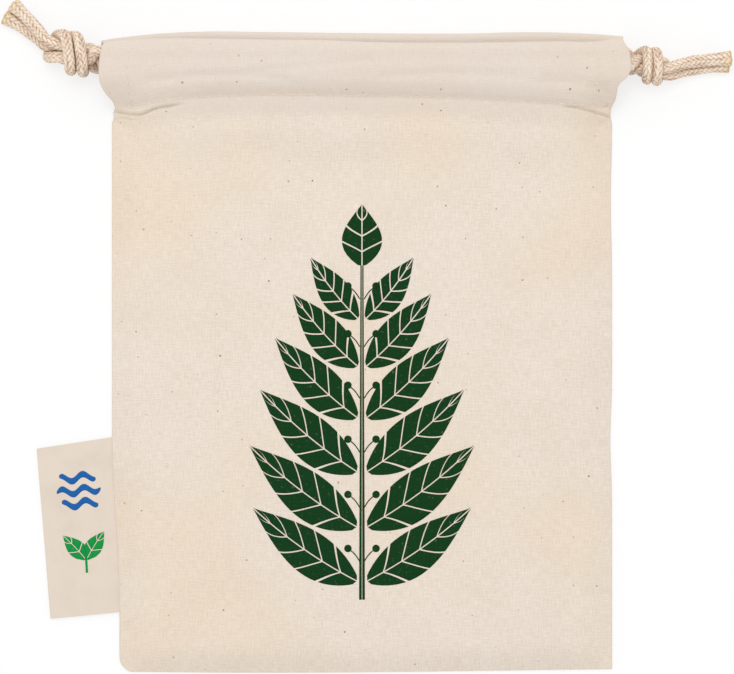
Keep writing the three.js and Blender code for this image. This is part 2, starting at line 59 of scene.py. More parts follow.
Array = np.ndarray
Faces = list[list[int]]
Colour = tuple[float, ...]
Object, Material, Mesh = bpy.types.Object, bpy.types.Material, bpy.types.Mesh
Node, Tree, Socket, Sockets = (
    bpy.types.Node, bpy.types.NodeTree, bpy.types.NodeSocket, bpy.types.bpy_prop_collection
)


class Side(Enum):
    """The two ends of the mouth, with the sign of X on each."""

    LEFT = -1
    RIGHT = 1

    @property
    def word(self) -> str:
        """The side's name in piece and body names."""
        return self.name.lower()


class Layer(Enum):
    """The bag's two faces."""

    FRONT = "front"
    BACK = "back"


@dataclass(frozen=True)
class BagSizes:
    """Sizes shared by the cloth, the sewing and the cords: the CAD's, but for a shorter facing_end."""

    cloth: float = 0.5
    width: float = 200.0
    height: float = 255.4
    pocket_fill: float = 4.9
    edge_round: float = 15.0
    fold_round: float = 11.0
    lower_side_draw: float = 3.0
    corner_radius: float = 6.0
    fold_sag: float = 0.9
    stitch_line: float = 101.0
    slit_bottom: float = 98.4
    casing_height: float = 6.5
    casing_shoulder: float = 7.85
    front_base: float = 10.9
    corner_height: float = 4.0
    corner_drop_width: float = 17.0
    casing_end: float = 106.6
    facing_end: float = 92.0
    back_fold: float = 127.7
    front_fold: float = 122.9
    seam_height: float = 1.1
    label_bottom: float = -104.4
    label_top: float = -34.4
    cord_diameter: float = 4.4
    upper_run: float = 118.85
    lower_run: float = 112.85
    front_run_z: float = 13.7
    back_run_z: float = 3.7
    run_start: float = 104.4
    fold_middle: float = 0.8
    fold_bend: float = 0.55
    flare_from: float = 90.0

    @property
    def side(self) -> float:
        """Half the bag's width."""
        return self.width / 2

    @property
    def bottom(self) -> float:
        """Place up the bag of the bottom fold's mean line."""
        return -self.height / 2

    @property
    def panel_top(self) -> float:
        """Place up the bag of the front panel's upper edge, just below the stitched row."""
        return self.stitch_line - 0.8

    @property
    def cord_radius(self) -> float:
        """Half the cord's diameter."""
        return self.cord_diameter / 2


SIZES = BagSizes()


def clamp(t: Array | float) -> Array:
    """t kept between 0 and 1."""
    return np.clip(t, 0.0, 1.0)


def smooth(t: Array | float) -> Array:
    """Eases from 0 to 1: c squared times 3 less 2c."""
    c = clamp(t)
    return c * c * (3 - 2 * c)


def quarter(t: Array | float) -> Array:
    """The first quarter of a sine, 0 to 1."""
    return np.sin(math.pi / 2 * clamp(t))


def mix(a: Array | float, b: Array | float, t: Array | float) -> Array:
    """a where t is 0 and b where it is 1."""
    return a + (b - a) * t


def bump(t: Array | float) -> Array:
    """A bell: e to the power of minus t squared."""
    return np.exp(-np.square(t))


def hermite(
    t: Array, a: Array, b: Array, leaving: Array, arriving: Array
) -> Array:
    """A cubic from a to b as t goes from 0 to 1, with a slope to leave and one to arrive."""
    slopes = (t**3 - 2 * t**2 + t) * leaving + (t**3 - t**2) * arriving
    return (2 * t**3 - 3 * t**2 + 1) * a + (3 * t**2 - 2 * t**3) * b + slopes


def curve_through(at: Array, places: list[float], values: list[float]) -> Array:
    """A smooth curve through a few points: cubic Hermite pieces whose slopes are central differences.

    Args:
        at: Where the curve is wanted; clamped to the first and last place.
        places: The points' places, rising.
        values: The points' values.

    Returns:
        The curve's values, in the shape of at.
    """
    x, y = np.asarray(places, float), np.asarray(values, float)
    slope = np.gradient(y, x)
    at = np.clip(at, x[0], x[-1])
    k = np.clip(np.searchsorted(x, at, side="right") - 1, 0, len(x) - 2)
    h = x[k + 1] - x[k]
    return hermite((at - x[k]) / h, y[k], y[k + 1], h * slope[k], h * slope[k + 1])


def away_from_line(x: Array, y: Array, line: list[tuple[float, float]]) -> Array:
    """Distance of each point (x, y) from a line of straight pieces, the least over its pieces."""
    ends = np.asarray(line, float)
    best = np.full(np.broadcast(x, y).shape, np.inf)
    for a, b in zip(ends[:-1], ends[1:]):
        d = b - a
        t = clamp(((x - a[0]) * d[0] + (y - a[1]) * d[1]) / (d @ d))
        best = np.minimum(best, np.hypot(x - a[0] - t * d[0], y - a[1] - t * d[1]))
    return best


def lengths_along(points: Array) -> Array:
    """Distance of each point of a line from its first, along the line."""
    return np.concatenate([[0], np.cumsum(np.linalg.norm(np.diff(points, axis=0), axis=1))])


def spokes_round(first: Array, second: Array, sides: int) -> Array:
    """Unit directions round a circle that starts at first and turns towards second."""
    angle = 2 * math.pi * np.arange(sides) / sides
    cosine, sine = np.cos(angle)[:, None], np.sin(angle)[:, None]
    return first[..., None, :] * cosine + second[..., None, :] * sine


def grid_normals(points: Array) -> Array:
    """Unit normals of a grid of points: across-row step crossed with along-column step."""
    across = np.gradient(points, axis=1)
    along = np.gradient(points, axis=0)
    normal = np.cross(across, along)
    return normal / np.maximum(np.linalg.norm(normal, axis=2, keepdims=True), 1e-12)


# Meshes


def link_mesh(name: str, points: Array, faces: Faces, finish: Material) -> Object:
    """Makes a mesh object from points in millimetres, shows it and gives it its finish.

    Args:
        name: The piece's name.
        points: Vertices, n by 3, in millimetres.
        faces: Vertex numbers of each face.
        finish: Its material.

    Returns:
        The object, at the origin, with smooth faces.
    """
    mesh = bpy.data.meshes.new(name)
    mesh.from_pydata((points * METRES).tolist(), [], faces)
    mesh.polygons.foreach_set("use_smooth", np.ones(len(mesh.polygons), bool))
    mesh.materials.append(finish)
    mesh.update()
    made = bpy.data.objects.new(name, mesh)
    bpy.context.scene.collection.objects.link(made)
    return made


def corners(mesh: Mesh) -> Array:
    """The vertex number at each corner of each face."""
    found = np.zeros(len(mesh.loops), np.int32)
    mesh.loops.foreach_get("vertex_index", found)
    return found


def set_uv(made: Object, places: Array) -> None:
    """Gives the mesh a UV map in metres from one pair in millimetres for each vertex."""
    layer = made.data.uv_layers.new(name="UVMap")
    layer.data.foreach_set("uv", (places * METRES)[corners(made.data)].astype(np.float32).ravel())


def set_value(made: Object, name: str, values: Array) -> None:
    """Gives the mesh a named value at each vertex."""
    layer = made.data.attributes.new(name, "FLOAT", "POINT")
    layer.data.foreach_set("value", values.astype(np.float32).ravel())


def quads(rows: int, columns: int, start: int = 0, closed: bool = False) -> Array:
    """Vertex numbers of a grid's faces, row by row; closed joins the last column to the first."""
    across = columns if closed else columns - 1
    j, i = np.meshgrid(np.arange(rows - 1), np.arange(across), indexing="ij")
    ahead = (i + 1) % columns
    here, above = j * columns, (j + 1) * columns
    return start + np.stack([here + i, here + ahead, above + ahead, above + i], axis=-1).reshape(-1, 4)


def tube_faces(rings: int, sides: int) -> Faces:
    """Faces of a closed tube: rings joined one to the next, and a fan to a pole at each end.

    Args:
        rings: How many rings of vertices there are.
        sides: Vertices in each ring; after the rings come the first end's pole and the last end's.

    Returns:
        The faces.
    """
    i, last = np.arange(sides), (rings - 1) * sides
    after = (i + 1) % sides
    first_fan = np.stack([np.full(sides, rings * sides), after, i], axis=1)
    last_fan = np.stack([np.full(sides, rings * sides + 1), last + i, last + after], axis=1)
    return [*quads(rings, sides, closed=True).tolist(), *first_fan.tolist(), *last_fan.tolist()]


def copied(faces: Faces, size: int, count: int) -> Faces:
    """One part's faces for each of count equal parts, size vertices to a part."""
    return [[v + start for v in face] for start in range(0, count * size, size) for face in faces]


def shell(points: Array, normals: Array, low: float, high: float) -> tuple[Array, Faces]:
    """A grid of points made a closed shell: an upper skin, a lower skin and a wall round the rim.

    Args:
        points: The grid, rows by columns by 3.
        normals: Its unit normals.
        low: The lower skin's height along the normals.
        high: The upper skin's height.

    Returns:
        The vertices, upper skin first, and the faces: both skins, then the wall.
    """
    rows, columns = points.shape[:2]
    count = rows * columns
    vertices = np.concatenate([(points + normals * way).reshape(-1, 3) for way in (high, low)])
    rim = np.concatenate([
        np.arange(columns),
        np.arange(1, rows) * columns + columns - 1,
        (rows - 1) * columns + np.arange(columns - 2, -1, -1),
        np.arange(rows - 2, 0, -1) * columns,
    ])
    after = np.roll(rim, -1)
    wall = np.stack([rim + count, after + count, after, rim], axis=1)
    faces = np.concatenate([quads(rows, columns), quads(rows, columns, count)[:, ::-1], wall])
    return vertices, faces.tolist()


def together(parts: list[tuple[Array, Faces]]) -> tuple[Array, Faces]:
    """Several meshes' vertices and faces as one mesh's."""
    starts = np.cumsum([0] + [len(vertices) for vertices, _ in parts[:-1]]).tolist()
    faces = [[v + start for v in face] for (_, own), start in zip(parts, starts) for face in own]
    return np.concatenate([vertices for vertices, _ in parts]), faces


@dataclass
class ClothGrid:
    """A layer of cloth: a grid of points down its middle, with its normals and its own flat pattern."""

    points: Array
    flat: Array
    thickness: float = SIZES.cloth
    normals: Array | None = None

    def __post_init__(self) -> None:
        """Works out the normals of a grid that comes without them."""
        if self.normals is None:
            self.normals = grid_normals(self.points)

    def part(self, columns: slice) -> "ClothGrid":
        """Some of the columns, with the normals of the whole."""
        points, flat, normals = (v[:, columns] for v in (self.points, self.flat, self.normals))
        return ClothGrid(points, flat, self.thickness, normals)

    def mesh(self, name: str, finish: Material) -> Object:
        """Makes the layer a closed shell: its points half a thickness either way along their normals.

        Args:
            name: The piece's name.
            finish: Its material.

        Returns:
            The object, with a UV map in metres of flat cloth.
        """
        rows, columns = self.points.shape[:2]
        half = self.thickness / 2
        points, faces = shell(self.points, self.normals, -half, half)
        skins = 2 * (rows - 1) * (columns - 1)
        made = link_mesh(name, points, faces, finish)
        made.data.polygons.foreach_set("use_smooth", np.arange(len(faces)) < skins)
        set_uv(made, np.tile(self.flat.reshape(-1, 2), (2, 1)))
        self._share_normals(made, skins)
        return made

    def _share_normals(self, made: Object, skins: int) -> None:
        """Sets the whole grid's normals on both skins, so that parts of one grid shade as one."""
        mesh = made.data
        normal = np.zeros(len(mesh.loops) * 3, np.float32)
        mesh.corner_normals.foreach_get("vector", normal)
        normal = normal.reshape(-1, 3)
        own = self.normals.reshape(-1, 3)
        normal[: skins * 4] = np.concatenate([own, -own])[corners(mesh)[: skins * 4]]
        mesh.normals_split_custom_set(normal.tolist())

    def film(
        self, name: str, grids: list[Array], rows: slice, lift: float, ink: float, finish: Material
    ) -> Object:
        """Makes films of ink that lie on the layer, as one object.

        Args:
            name: The piece's name.
            grids: A grid of (x, y) for each film.
            rows: The rows to look in, as for over.
            lift: Height of the films' undersides over the cloth.
            ink: The films' thickness.
            finish: Their material.

        Returns:
            The object, with the cloth's own UV map.
        """
        parts, flats = [], []
        for grid in grids:
            points, normals, flat = self.over(grid[..., 0], grid[..., 1], rows)
            parts.append(shell(points + normals * (self.thickness / 2 + lift), normals, 0.0, ink))
            flats.append(np.tile(flat.reshape(-1, 2), (2, 1)))
        vertices, faces = together(parts)
        made = link_mesh(name, vertices, faces, finish)
        set_uv(made, np.concatenate(flats))
        LOG.info("%s: %d faces", name, len(faces))
        return made

    def over(self, x: Array, y: Array, rows: slice) -> tuple[Array, Array, Array]:
        """Where the layer passes over each (x, y).

        A fractional row and column are found by a few steps of Newton's rule, and the points, normals
        and flat pattern are then mixed from the four grid points round each.

        Args:
            x: Places along the mouth.
            y: Places up the bag, of the same shape.
            rows: The rows to look in, over which y only rises or only falls.

        Returns:
            Points, unit normals and flat pattern, each with the shape of x and one more axis.
        """
        points, normals, flat = (v[rows] for v in (self.points, self.normals, self.flat))
        middle = points[:, points.shape[1] // 2, 1]
        order = np.argsort(middle)
        row = np.interp(y, middle[order], order.astype(float))
        line = points[len(points) // 2, :, 0]
        order = np.argsort(line, kind="stable")
        column = np.interp(x, line[order], order.astype(float))
        for _ in range(8):
            here, ahead, beside = (
                self._mixed(points, row + i, column + j) for i, j in ((0, 0), (0.5, 0), (0, 0.5))
            )
            rise = self._away_from_zero(ahead[..., 1] - here[..., 1])
            run = self._away_from_zero(beside[..., 0] - here[..., 0])
            row, column = row + 0.5 * (y - here[..., 1]) / rise, column + 0.5 * (x - here[..., 0]) / run
            row, column = np.clip(row, 0, len(points) - 1.6), np.clip(column, 0, points.shape[1] - 1.6)
        normal = self._mixed(normals, row, column)
        normal = normal / np.linalg.norm(normal, axis=-1, keepdims=True)
        return self._mixed(points, row, column), normal, self._mixed(flat, row, column)

    @staticmethod
    def _away_from_zero(step: Array) -> Array:
        """The step, no smaller than a thousandth."""
        return np.where(np.abs(step) < 1e-3, 1e-3, step)

    @staticmethod
    def _mixed(values: Array, row: Array, column: Array) -> Array:
        """Values at fractional rows and columns."""
        i = np.clip(np.floor(row).astype(int), 0, values.shape[0] - 2)
        j = np.clip(np.floor(column).astype(int), 0, values.shape[1] - 2)
        s, t = (row - i)[..., None], (column - j)[..., None]
        below = mix(values[i, j], values[i, j + 1], t)
        return mix(below, mix(values[i + 1, j], values[i + 1, j + 1], t), s)


# Shader nodes


class Nodes:
    """Adds nodes to one tree and joins them."""

    def __init__(self, tree: Tree) -> None:
        """Keeps the tree that nodes are added to."""
        self.tree = tree

    def fill(self, node: Node, inputs: dict) -> None:
        """Fills a node's inputs with values or other nodes' outputs."""
        for key, value in inputs.items():
            if isinstance(value, Socket):
                self.tree.links.new(value, node.inputs[key])
            else:
                node.inputs[key].default_value = value

    def add(self, kind: str, inputs: dict | None = None, **settings: object) -> Node:
        """Adds a node, sets its options and fills its inputs."""
        node = self.tree.nodes.new(kind)
        for name, value in settings.items():
            setattr(node, name, value)
        self.fill(node, inputs or {})
        return node

    def math(self, operation: str, *values: object, limit: bool = False) -> Socket:
        """One Math node's result."""
        node = self.add("ShaderNodeMath", dict(enumerate(values)), operation=operation, use_clamp=limit)
        return node.outputs[0]

    def vector(self, operation: str, first: object, second: object) -> Socket:
        """One Vector Math node's result."""
        inputs = {0: first, "Scale" if operation == "SCALE" else 1: second}
        return self.add("ShaderNodeVectorMath", inputs, operation=operation).outputs[0]

    def between(
        self, value: object, low: float, high: float, to_low: float = 0.0, to_high: float = 1.0
    ) -> Socket:
        """A value mapped smoothly from one range to another, and clamped."""
        inputs = dict(enumerate((value, low, high, to_low, to_high)))
        return self.add("ShaderNodeMapRange", inputs, interpolation_type="SMOOTHSTEP").outputs[0]

    def mixed(self, share: object, first: object, second: object) -> Socket:
        """A mix of two values."""
        return self.add("ShaderNodeMix", {0: share, 2: first, 3: second}).outputs[0]

    def colour(self, share: object, first: object, second: object) -> Socket:
        """A mix of two colours."""
        return self.add("ShaderNodeMix", {0: share, 6: first, 7: second}, data_type="RGBA").outputs[2]

    def noise(self, place: object, scale: float, detail: float = 2.0) -> Socket:
        """A noise texture's value."""
        inputs = {"Vector": place, "Scale": scale, "Detail": detail}
        return self.add("ShaderNodeTexNoise", inputs).outputs[0]

    def scatter(self, place: object, scale: float) -> Socket:
        """A noise texture's three values, centred on nothing."""
        noise = self.add("ShaderNodeTexNoise", {"Vector": place, "Scale": scale, "Detail": 1.0})
        return self.vector("SUBTRACT", noise.outputs["Color"], (0.5, 0.5, 0.5))

    def flat(self) -> Socket:
        """Where each point lies on its piece's flat map, in metres."""
        return self.add("ShaderNodeUVMap", uv_map="UVMap").outputs[0]

    def value(self, name: str) -> Socket:
        """One of the mesh's named values."""
        return self.add("ShaderNodeAttribute", attribute_name=name).outputs["Fac"]

    def shared(self, tree: Tree, place: object, **inputs: object) -> Sockets:
        """The outputs of one use of a shared effect."""
        return self.add("ShaderNodeGroup", {"Vector": place, **inputs}, node_tree=tree).outputs

    def tilted(self, height: object, strength: float, depth: float) -> Socket:
        """The normal, tilted by a height in metres times depth."""
        inputs = {"Height": height, "Strength": strength, "Distance": depth}
        return self.add("ShaderNodeBump", inputs).outputs[0]


def linear(red: int, green: int, blue: int) -> Colour:
    """A screen colour from 0 to 255 as the renderer's own linear colour."""
    shares = np.array([red, green, blue]) / 255
    values = np.where(shares <= 0.04045, shares / 12.92, ((shares + 0.055) / 1.055) ** 2.4)
    return (*values.tolist(), 1.0)


def new_group(
    name: str, inputs: dict[str, float], outputs: list[str]
) -> tuple[Nodes, Sockets, Node]:
    """Starts a node group whose first input is Vector.

    Args:
        name: The group's name.
        inputs: Its further inputs' values.
        outputs: Names of the outputs, all values.

    Returns:
        The group's node maker, its inputs as its nodes take them, and its output node.
    """
    tree = bpy.data.node_groups.new(name, "ShaderNodeTree")
    tree.interface.new_socket("Vector", in_out="INPUT", socket_type="NodeSocketVector")
    for key, value in inputs.items():
        socket = tree.interface.new_socket(key, in_out="INPUT", socket_type="NodeSocketFloat")
        socket.default_value = value
    for key in outputs:
        tree.interface.new_socket(key, in_out="OUTPUT", socket_type="NodeSocketFloat")
    nodes = Nodes(tree)
    return nodes, nodes.add("NodeGroupInput").outputs, nodes.add("NodeGroupOutput")


class Effects:
    """The shader effects that several finishes share, each built once."""

    def __init__(self) -> None:
        """Builds the groups."""
        self.weave = self._plain_weave()
        self.specks = self._seed_specks()
        self.fibres = self._fibres()

    @staticmethod
    def _plain_weave() -> Tree:
        """Plain weave: the warp, |sin x|, is on top where sin x sin y > 0, else the weft, |sin y|."""
        inputs = {"Pitch": 0.0005, "Unevenness": 0.5}
        nodes, taken, given = new_group("plain_weave", inputs, ["Height", "Tone"])
        place, pitch = taken["Vector"], taken["Pitch"]
        reach = nodes.math("MULTIPLY", pitch, taken["Unevenness"])
        moved = nodes.vector("ADD", place, nodes.vector("SCALE", nodes.scatter(place, 300.0), reach))
        turned = nodes.vector("SCALE", moved, nodes.math("DIVIDE", math.pi, pitch))
        parts = nodes.add("ShaderNodeSeparateXYZ", {0: turned})
        across, along = (nodes.math("SINE", parts.outputs[k]) for k in (0, 1))
        over = nodes.math("MULTIPLY_ADD", nodes.math("MULTIPLY", across, along), 2.0, 0.5, limit=True)
        warp, weft = nodes.math("ABSOLUTE", across), nodes.math("ABSOLUTE", along)
        streaks = [
            nodes.noise(nodes.vector("MULTIPLY", place, stretch), 2100.0)
            for stretch in ((1.0, 0.12, 1.0), (0.12, 1.0, 1.0))
        ]
        nodes.fill(given, {
            "Height": nodes.mixed(over, weft, warp),
            "Tone": nodes.mixed(over, streaks[1], streaks[0]),
        })
        return nodes.tree

    @staticmethod
    def _seed_specks() -> Tree:
        """Seed specks: in some cells of a Voronoi pattern, what is nearer than Size to the middle."""
        inputs = {"Spacing": 0.01, "Size": 0.036, "Share": 0.45}
        nodes, taken, given = new_group("seed_specks", inputs, ["Mask"])
        place = taken["Vector"]
        place = nodes.vector("ADD", place, nodes.vector("SCALE", nodes.scatter(place, 1500.0), 0.0004))
        scale = nodes.math("DIVIDE", 1.0, taken["Spacing"])
        where = {"Vector": place, "Scale": scale}
        cells = nodes.add("ShaderNodeTexVoronoi", where, voronoi_dimensions="2D").outputs
        chance = nodes.add("ShaderNodeSeparateColor", {0: cells["Color"]}).outputs
        size = nodes.math("MULTIPLY", taken["Size"], nodes.math("ADD", chance[1], 0.4))
        near = nodes.math("SUBTRACT", 1.0, nodes.math("DIVIDE", cells["Distance"], size), limit=True)
        kept = nodes.math("GREATER_THAN", taken["Share"], chance[0])
        mask = nodes.math("MULTIPLY", nodes.math("MULTIPLY", near, 2.5, limit=True), kept)
        nodes.fill(given, {"Mask": nodes.math("MULTIPLY", mask, chance[2])})
        return nodes.tree

    @staticmethod
    def _fibres() -> Tree:
        """Fine fibres: noise drawn out along the second coordinate, with a coarser noise added."""
        nodes, taken, given = new_group("fibres", {"Scale": 1.0, "Stretch": 0.15}, ["Height", "Tone"])
        stretch = nodes.add("ShaderNodeCombineXYZ", {0: 1.0, 1: taken["Stretch"], 2: 1.0}).outputs[0]
        drawn = nodes.vector("MULTIPLY", taken["Vector"], stretch)
        sized = nodes.vector("SCALE", drawn, taken["Scale"])
        fine, coarse = nodes.noise(sized, 6000.0, 3.0), nodes.noise(sized, 900.0)
        nodes.fill(given, {"Height": fine, "Tone": coarse})
        return nodes.tree


def new_material(name: str) -> tuple[Material, Nodes, Node]:
    """Starts a material and gives its node maker and its Principled shader."""
    material = bpy.data.materials.new(name)
    material.use_nodes = True
    return material, Nodes(material.node_tree), material.node_tree.nodes["Principled BSDF"]


@dataclass(frozen=True)
class ClothFinish:
    """Unbleached plain-weave cotton with seed specks."""

    effects: Effects
    colour: Colour = linear(239, 230, 219)
    # painted shade in the thread gaps, and the darker tone of uneven threads and blotches
    shade_and_tone: Colour = linear(208, 184, 159)
    warm: Colour = linear(242, 223, 198)
    speck: Colour = linear(158, 116, 82)
    # greyer colour of the doubled casings, also painted shade in a band under the stitched row
    doubled: Colour = linear(221, 209, 199)
    pitch: float = 0.00052
    roughness: float = 0.92

    def material(self, name: str = "cotton") -> Material:
        """The cloth's material: painted shade in the thread gaps, threads uneven in tone, a few brown
        specks, greyer on the doubled casings and painted shade in a band under the stitched row.
        """
        material, nodes, shader = new_material(name)
        place = nodes.flat()
        weave = nodes.shared(self.effects.weave, place, Pitch=self.pitch)
        specks = nodes.shared(self.effects.specks, place)
        # painted shade: darker in the gaps between threads, where the weave lies low
        gaps = nodes.between(weave["Height"], 0.0, 0.75, 0.32, 0.0)
        uneven = nodes.between(weave["Tone"], 0.32, 0.68, 0.0, 0.36)
        blotches = nodes.between(nodes.noise(place, 45.0, 3.0), 0.35, 0.75, 0.0, 0.08)
        darker = nodes.math("ADD", nodes.math("ADD", gaps, uneven), blotches, limit=True)
        warmth = nodes.between(nodes.noise(place, 13.0, 1.0), 0.4, 0.65, 0.0, 0.5)
        # mixes towards the dark colour by the painted gap shade and by the cloth's own uneven tone and
        # blotches
        ground = nodes.colour(darker, nodes.colour(warmth, self.colour, self.warm), self.shade_and_tone)
        # half of a greyer colour on the doubled casings, and painted shade in a band under the stitched
        # row
        ground = nodes.colour(nodes.math("MULTIPLY", nodes.value("double"), 0.5), ground, self.doubled)
        nodes.fill(shader, {
            "Base Color": nodes.colour(specks["Mask"], ground, self.speck),
            "Roughness": nodes.between(weave["Height"], 0.0, 1.0, 1.0, self.roughness),
            "Specular IOR Level": 0.2,
            "Sheen Weight": 0.08,
            "Normal": nodes.tilted(weave["Height"], 0.5, 0.00012),
        })
        return material


@dataclass(frozen=True)
class CordFinish:
    """Braided cotton yarn, with painted shade between the strands."""

    effects: Effects
    colour: Colour = linear(247, 231, 211)
    # painted shade in the braid's grooves and between low fibres, and the yarn's darker tone
    cord_shade_and_tone: Colour = linear(160, 108, 70)
    glue: Colour = linear(228, 202, 148)

    def material(self, name: str = "cord") -> Material:
        """The cord's material, which reads the painted shade of its grooves and how near the cut end
        each point is.
        """
        material, nodes, shader = new_material(name)
        fibres = nodes.shared(self.effects.fibres, nodes.flat())
        uneven = nodes.between(fibres["Tone"], 0.3, 0.8, -0.25, 0.3)
        fine = nodes.between(fibres["Height"], 0.35, 0.65, 0.34, 0.0)
        # painted shade in the braid's grooves and where the fibres lie low, added to the yarn's uneven
        # tone
        darker = nodes.math("ADD", nodes.math("ADD", nodes.value("cord_shade_and_tone"), uneven), fine, limit=True)
        ground = nodes.colour(darker, self.colour, self.cord_shade_and_tone)
        nodes.fill(shader, {
            "Base Color": nodes.colour(nodes.value("tip"), ground, self.glue),
            "Roughness": 0.95,
            "Specular IOR Level": 0.15,
            "Sheen Weight": 0.15,
            "Normal": nodes.tilted(fibres["Height"], 0.6, 0.00012),
        })
        return material


@dataclass(frozen=True)
class ThreadFinish:
    """Twisted cotton sewing thread."""

    effects: Effects
    colour: Colour = linear(246, 236, 222)
    # painted shade where the fibres lie low
    shade_and_tone: Colour = linear(228, 208, 182)

    def material(self, name: str = "sewing_thread") -> Material:
        """The thread's material: fine fibres with painted shade where they lie low, a little uneven in
        tone.
        """
        material, nodes, shader = new_material(name)
        place = nodes.add("ShaderNodeTexCoord").outputs["Object"]
        height = nodes.shared(self.effects.fibres, place)["Height"]
        nodes.fill(shader, {
            # painted shade: darker where the fibres lie low
            "Base Color": nodes.colour(nodes.between(height, 0.35, 0.7), self.shade_and_tone, self.colour),
            "Roughness": 0.8,
            "Normal": nodes.tilted(height, 0.4, 0.0001),
        })
        return material


@dataclass(frozen=True)
class TapeFinish:
    """Closely woven label tape."""

    effects: Effects
    colour: Colour = linear(227, 213, 198)
    # painted shade in the thread gaps, and the tape's darker blotches
    shade_and_tone: Colour = linear(206, 189, 169)
    pitch: float = 0.00024

    def material(self, name: str = "label_tape") -> Material:
        """The tape's material: a fine weave with painted shade in its thread gaps, and a faint
        unevenness.
        """
        material, nodes, shader = new_material(name)
        place = nodes.flat()
        height = nodes.shared(self.effects.weave, place, Pitch=self.pitch)["Height"]
        # painted shade: darker in the gaps between threads
        gaps = nodes.between(height, 0.0, 0.7, 0.35, 0.0)
        blotches = nodes.between(nodes.noise(place, 90.0), 0.4, 0.8, 0.0, 0.3)
        darker = nodes.math("ADD", gaps, blotches, limit=True)
        nodes.fill(shader, {
            "Base Color": nodes.colour(darker, self.colour, self.shade_and_tone),
            "Roughness": 0.7,
            "Sheen Weight": 0.1,
            "Normal": nodes.tilted(height, 0.3, 0.00006),
        })
        return material


@dataclass(frozen=True)
class InkFinish:
    """Printing ink on cloth or tape, thin enough for the weave to show through."""

    effects: Effects
    ink: Colour
    ground: Colour = linear(225, 208, 186)
    pitch: float = 0.00052

    def material(self, name: str) -> Material:
        """The ink's material: solid on the threads, a little bare in the gaps and at random."""
        material, nodes, shader = new_material(name)
        place = nodes.flat()
        height = nodes.shared(self.effects.weave, place, Pitch=self.pitch)["Height"]
        gaps = nodes.between(height, 0.0, 0.5, 0.06, 0.0)
        worn = nodes.between(nodes.noise(place, 700.0, 3.0), 0.6, 0.85, 0.0, 0.18)
        bare = nodes.math("ADD", gaps, worn, limit=True)
        nodes.fill(shader, {
            "Base Color": nodes.colour(bare, self.ink, self.ground),
            "Roughness": 0.85,
            "Specular IOR Level": 0.1,
            "Normal": nodes.tilted(height, 0.5, 0.0001),
        })
        return material


# Studio


WHITE = (1, 1, 1, 1)


@dataclass(frozen=True)
class Studio:
    """The floor, the lights and a camera straight above the bag, as in the photograph."""

    view_width: float = 293.6
    centre: tuple[float, float] = (2.0, 5.6)
    height: float = 1400.0
    world: float = 0.84
    key: float = 6.0
    key_size: tuple[float, float] = (1.0, 0.6)
    key_place: tuple[float, float, float] = (-0.12, 0.62, 1.35)
    floor_reach: float = 6000.0
    floor_z: float = -0.15
    floor_white: float = 0.72

    def camera(self) -> None:
        """Looks straight down, the photograph's width filling the image at the bag's own height."""
        data = bpy.data.cameras.new("camera")
        data.lens = data.sensor_width * self.height / self.view_width
        data.clip_start, data.clip_end = 0.01, 20.0
        made = bpy.data.objects.new("camera", data)
        made.location = (self.centre[0] * METRES, self.centre[1] * METRES, self.height * METRES)
        bpy.context.scene.collection.objects.link(made)
        bpy.context.scene.camera = made

    def floor(self) -> None:
        """A pale floor that shows white to the camera but for the bag's shadow."""
        size = [self.floor_reach, self.floor_reach, self.floor_z]
        points = np.array([[-1, -1, 1], [1, -1, 1], [1, 1, 1], [-1, 1, 1]]) * size
        material = bpy.data.materials.new("floor")
        material.use_nodes = True
        nodes = Nodes(material.node_tree)
        material.node_tree.nodes.clear()
        rays = nodes.add("ShaderNodeLightPath").outputs
        seen = nodes.math("MAXIMUM", rays["Is Camera Ray"], rays["Is Glossy Ray"])
        seen = nodes.math("MAXIMUM", seen, rays["Is Transmission Ray"])
        plain = nodes.add("ShaderNodeBsdfDiffuse", {"Color": (0.95, 0.95, 0.95, 1)}).outputs[0]
        white = nodes.add("ShaderNodeEmission", {"Color": WHITE, "Strength": 1.0}).outputs[0]
        lit = nodes.add("ShaderNodeMixShader", {0: self.floor_white, 1: plain, 2: white}).outputs[0]
        shown = nodes.add("ShaderNodeMixShader", {0: seen, 1: plain, 2: lit}).outputs[0]
        nodes.add("ShaderNodeOutputMaterial", {"Surface": shown})
        link_mesh("floor", points, [[0, 1, 2, 3]], material)

    def lights(self) -> None:
        """An even world, white to the camera, and one broad lamp from above the top left."""
        world = bpy.data.worlds.new("world")
        world.use_nodes = True
        bpy.context.scene.world = world
        nodes = Nodes(world.node_tree)
        even = world.node_tree.nodes["Background"]
        nodes.fill(even, {"Color": WHITE, "Strength": self.world})
        seen = nodes.add("ShaderNodeLightPath").outputs["Is Camera Ray"]
        white = nodes.add("ShaderNodeBackground", {"Color": WHITE, "Strength": 1.0}).outputs[0]
        shown = nodes.add("ShaderNodeMixShader", {0: seen, 1: even.outputs[0], 2: white}).outputs[0]
        nodes.fill(world.node_tree.nodes["World Output"], {"Surface": shown})
        data = bpy.data.lights.new("key", "AREA")
        data.shape, data.energy = "RECTANGLE", self.key
        data.size, data.size_y = self.key_size
        made = bpy.data.objects.new("key", data)
        made.location = self.key_place
        made.rotation_mode = "QUATERNION"
        made.rotation_quaternion = (-made.location).to_track_quat("-Z", "Y")
        bpy.context.scene.collection.objects.link(made)


# Cords


@dataclass(frozen=True)
class Knot:
    """Place of a doubled overhand knot beyond the casing's end.

    out, up and sit, how far out, up the bag and off the surface it is, are in strand spacings, and
    spacing is in cord diameters. across, 1 or -1, says which way round it is tied. rise and roll are in
    degrees, lean is how far it goes outwards for each step down, and ease is how much more its wraps
    lean at their tops than at their sides.
    """

    out: float
    up: float
    spacing: float
    across: float
    rise: float
    lean: float
    roll: float
    sit: float
    ease: float


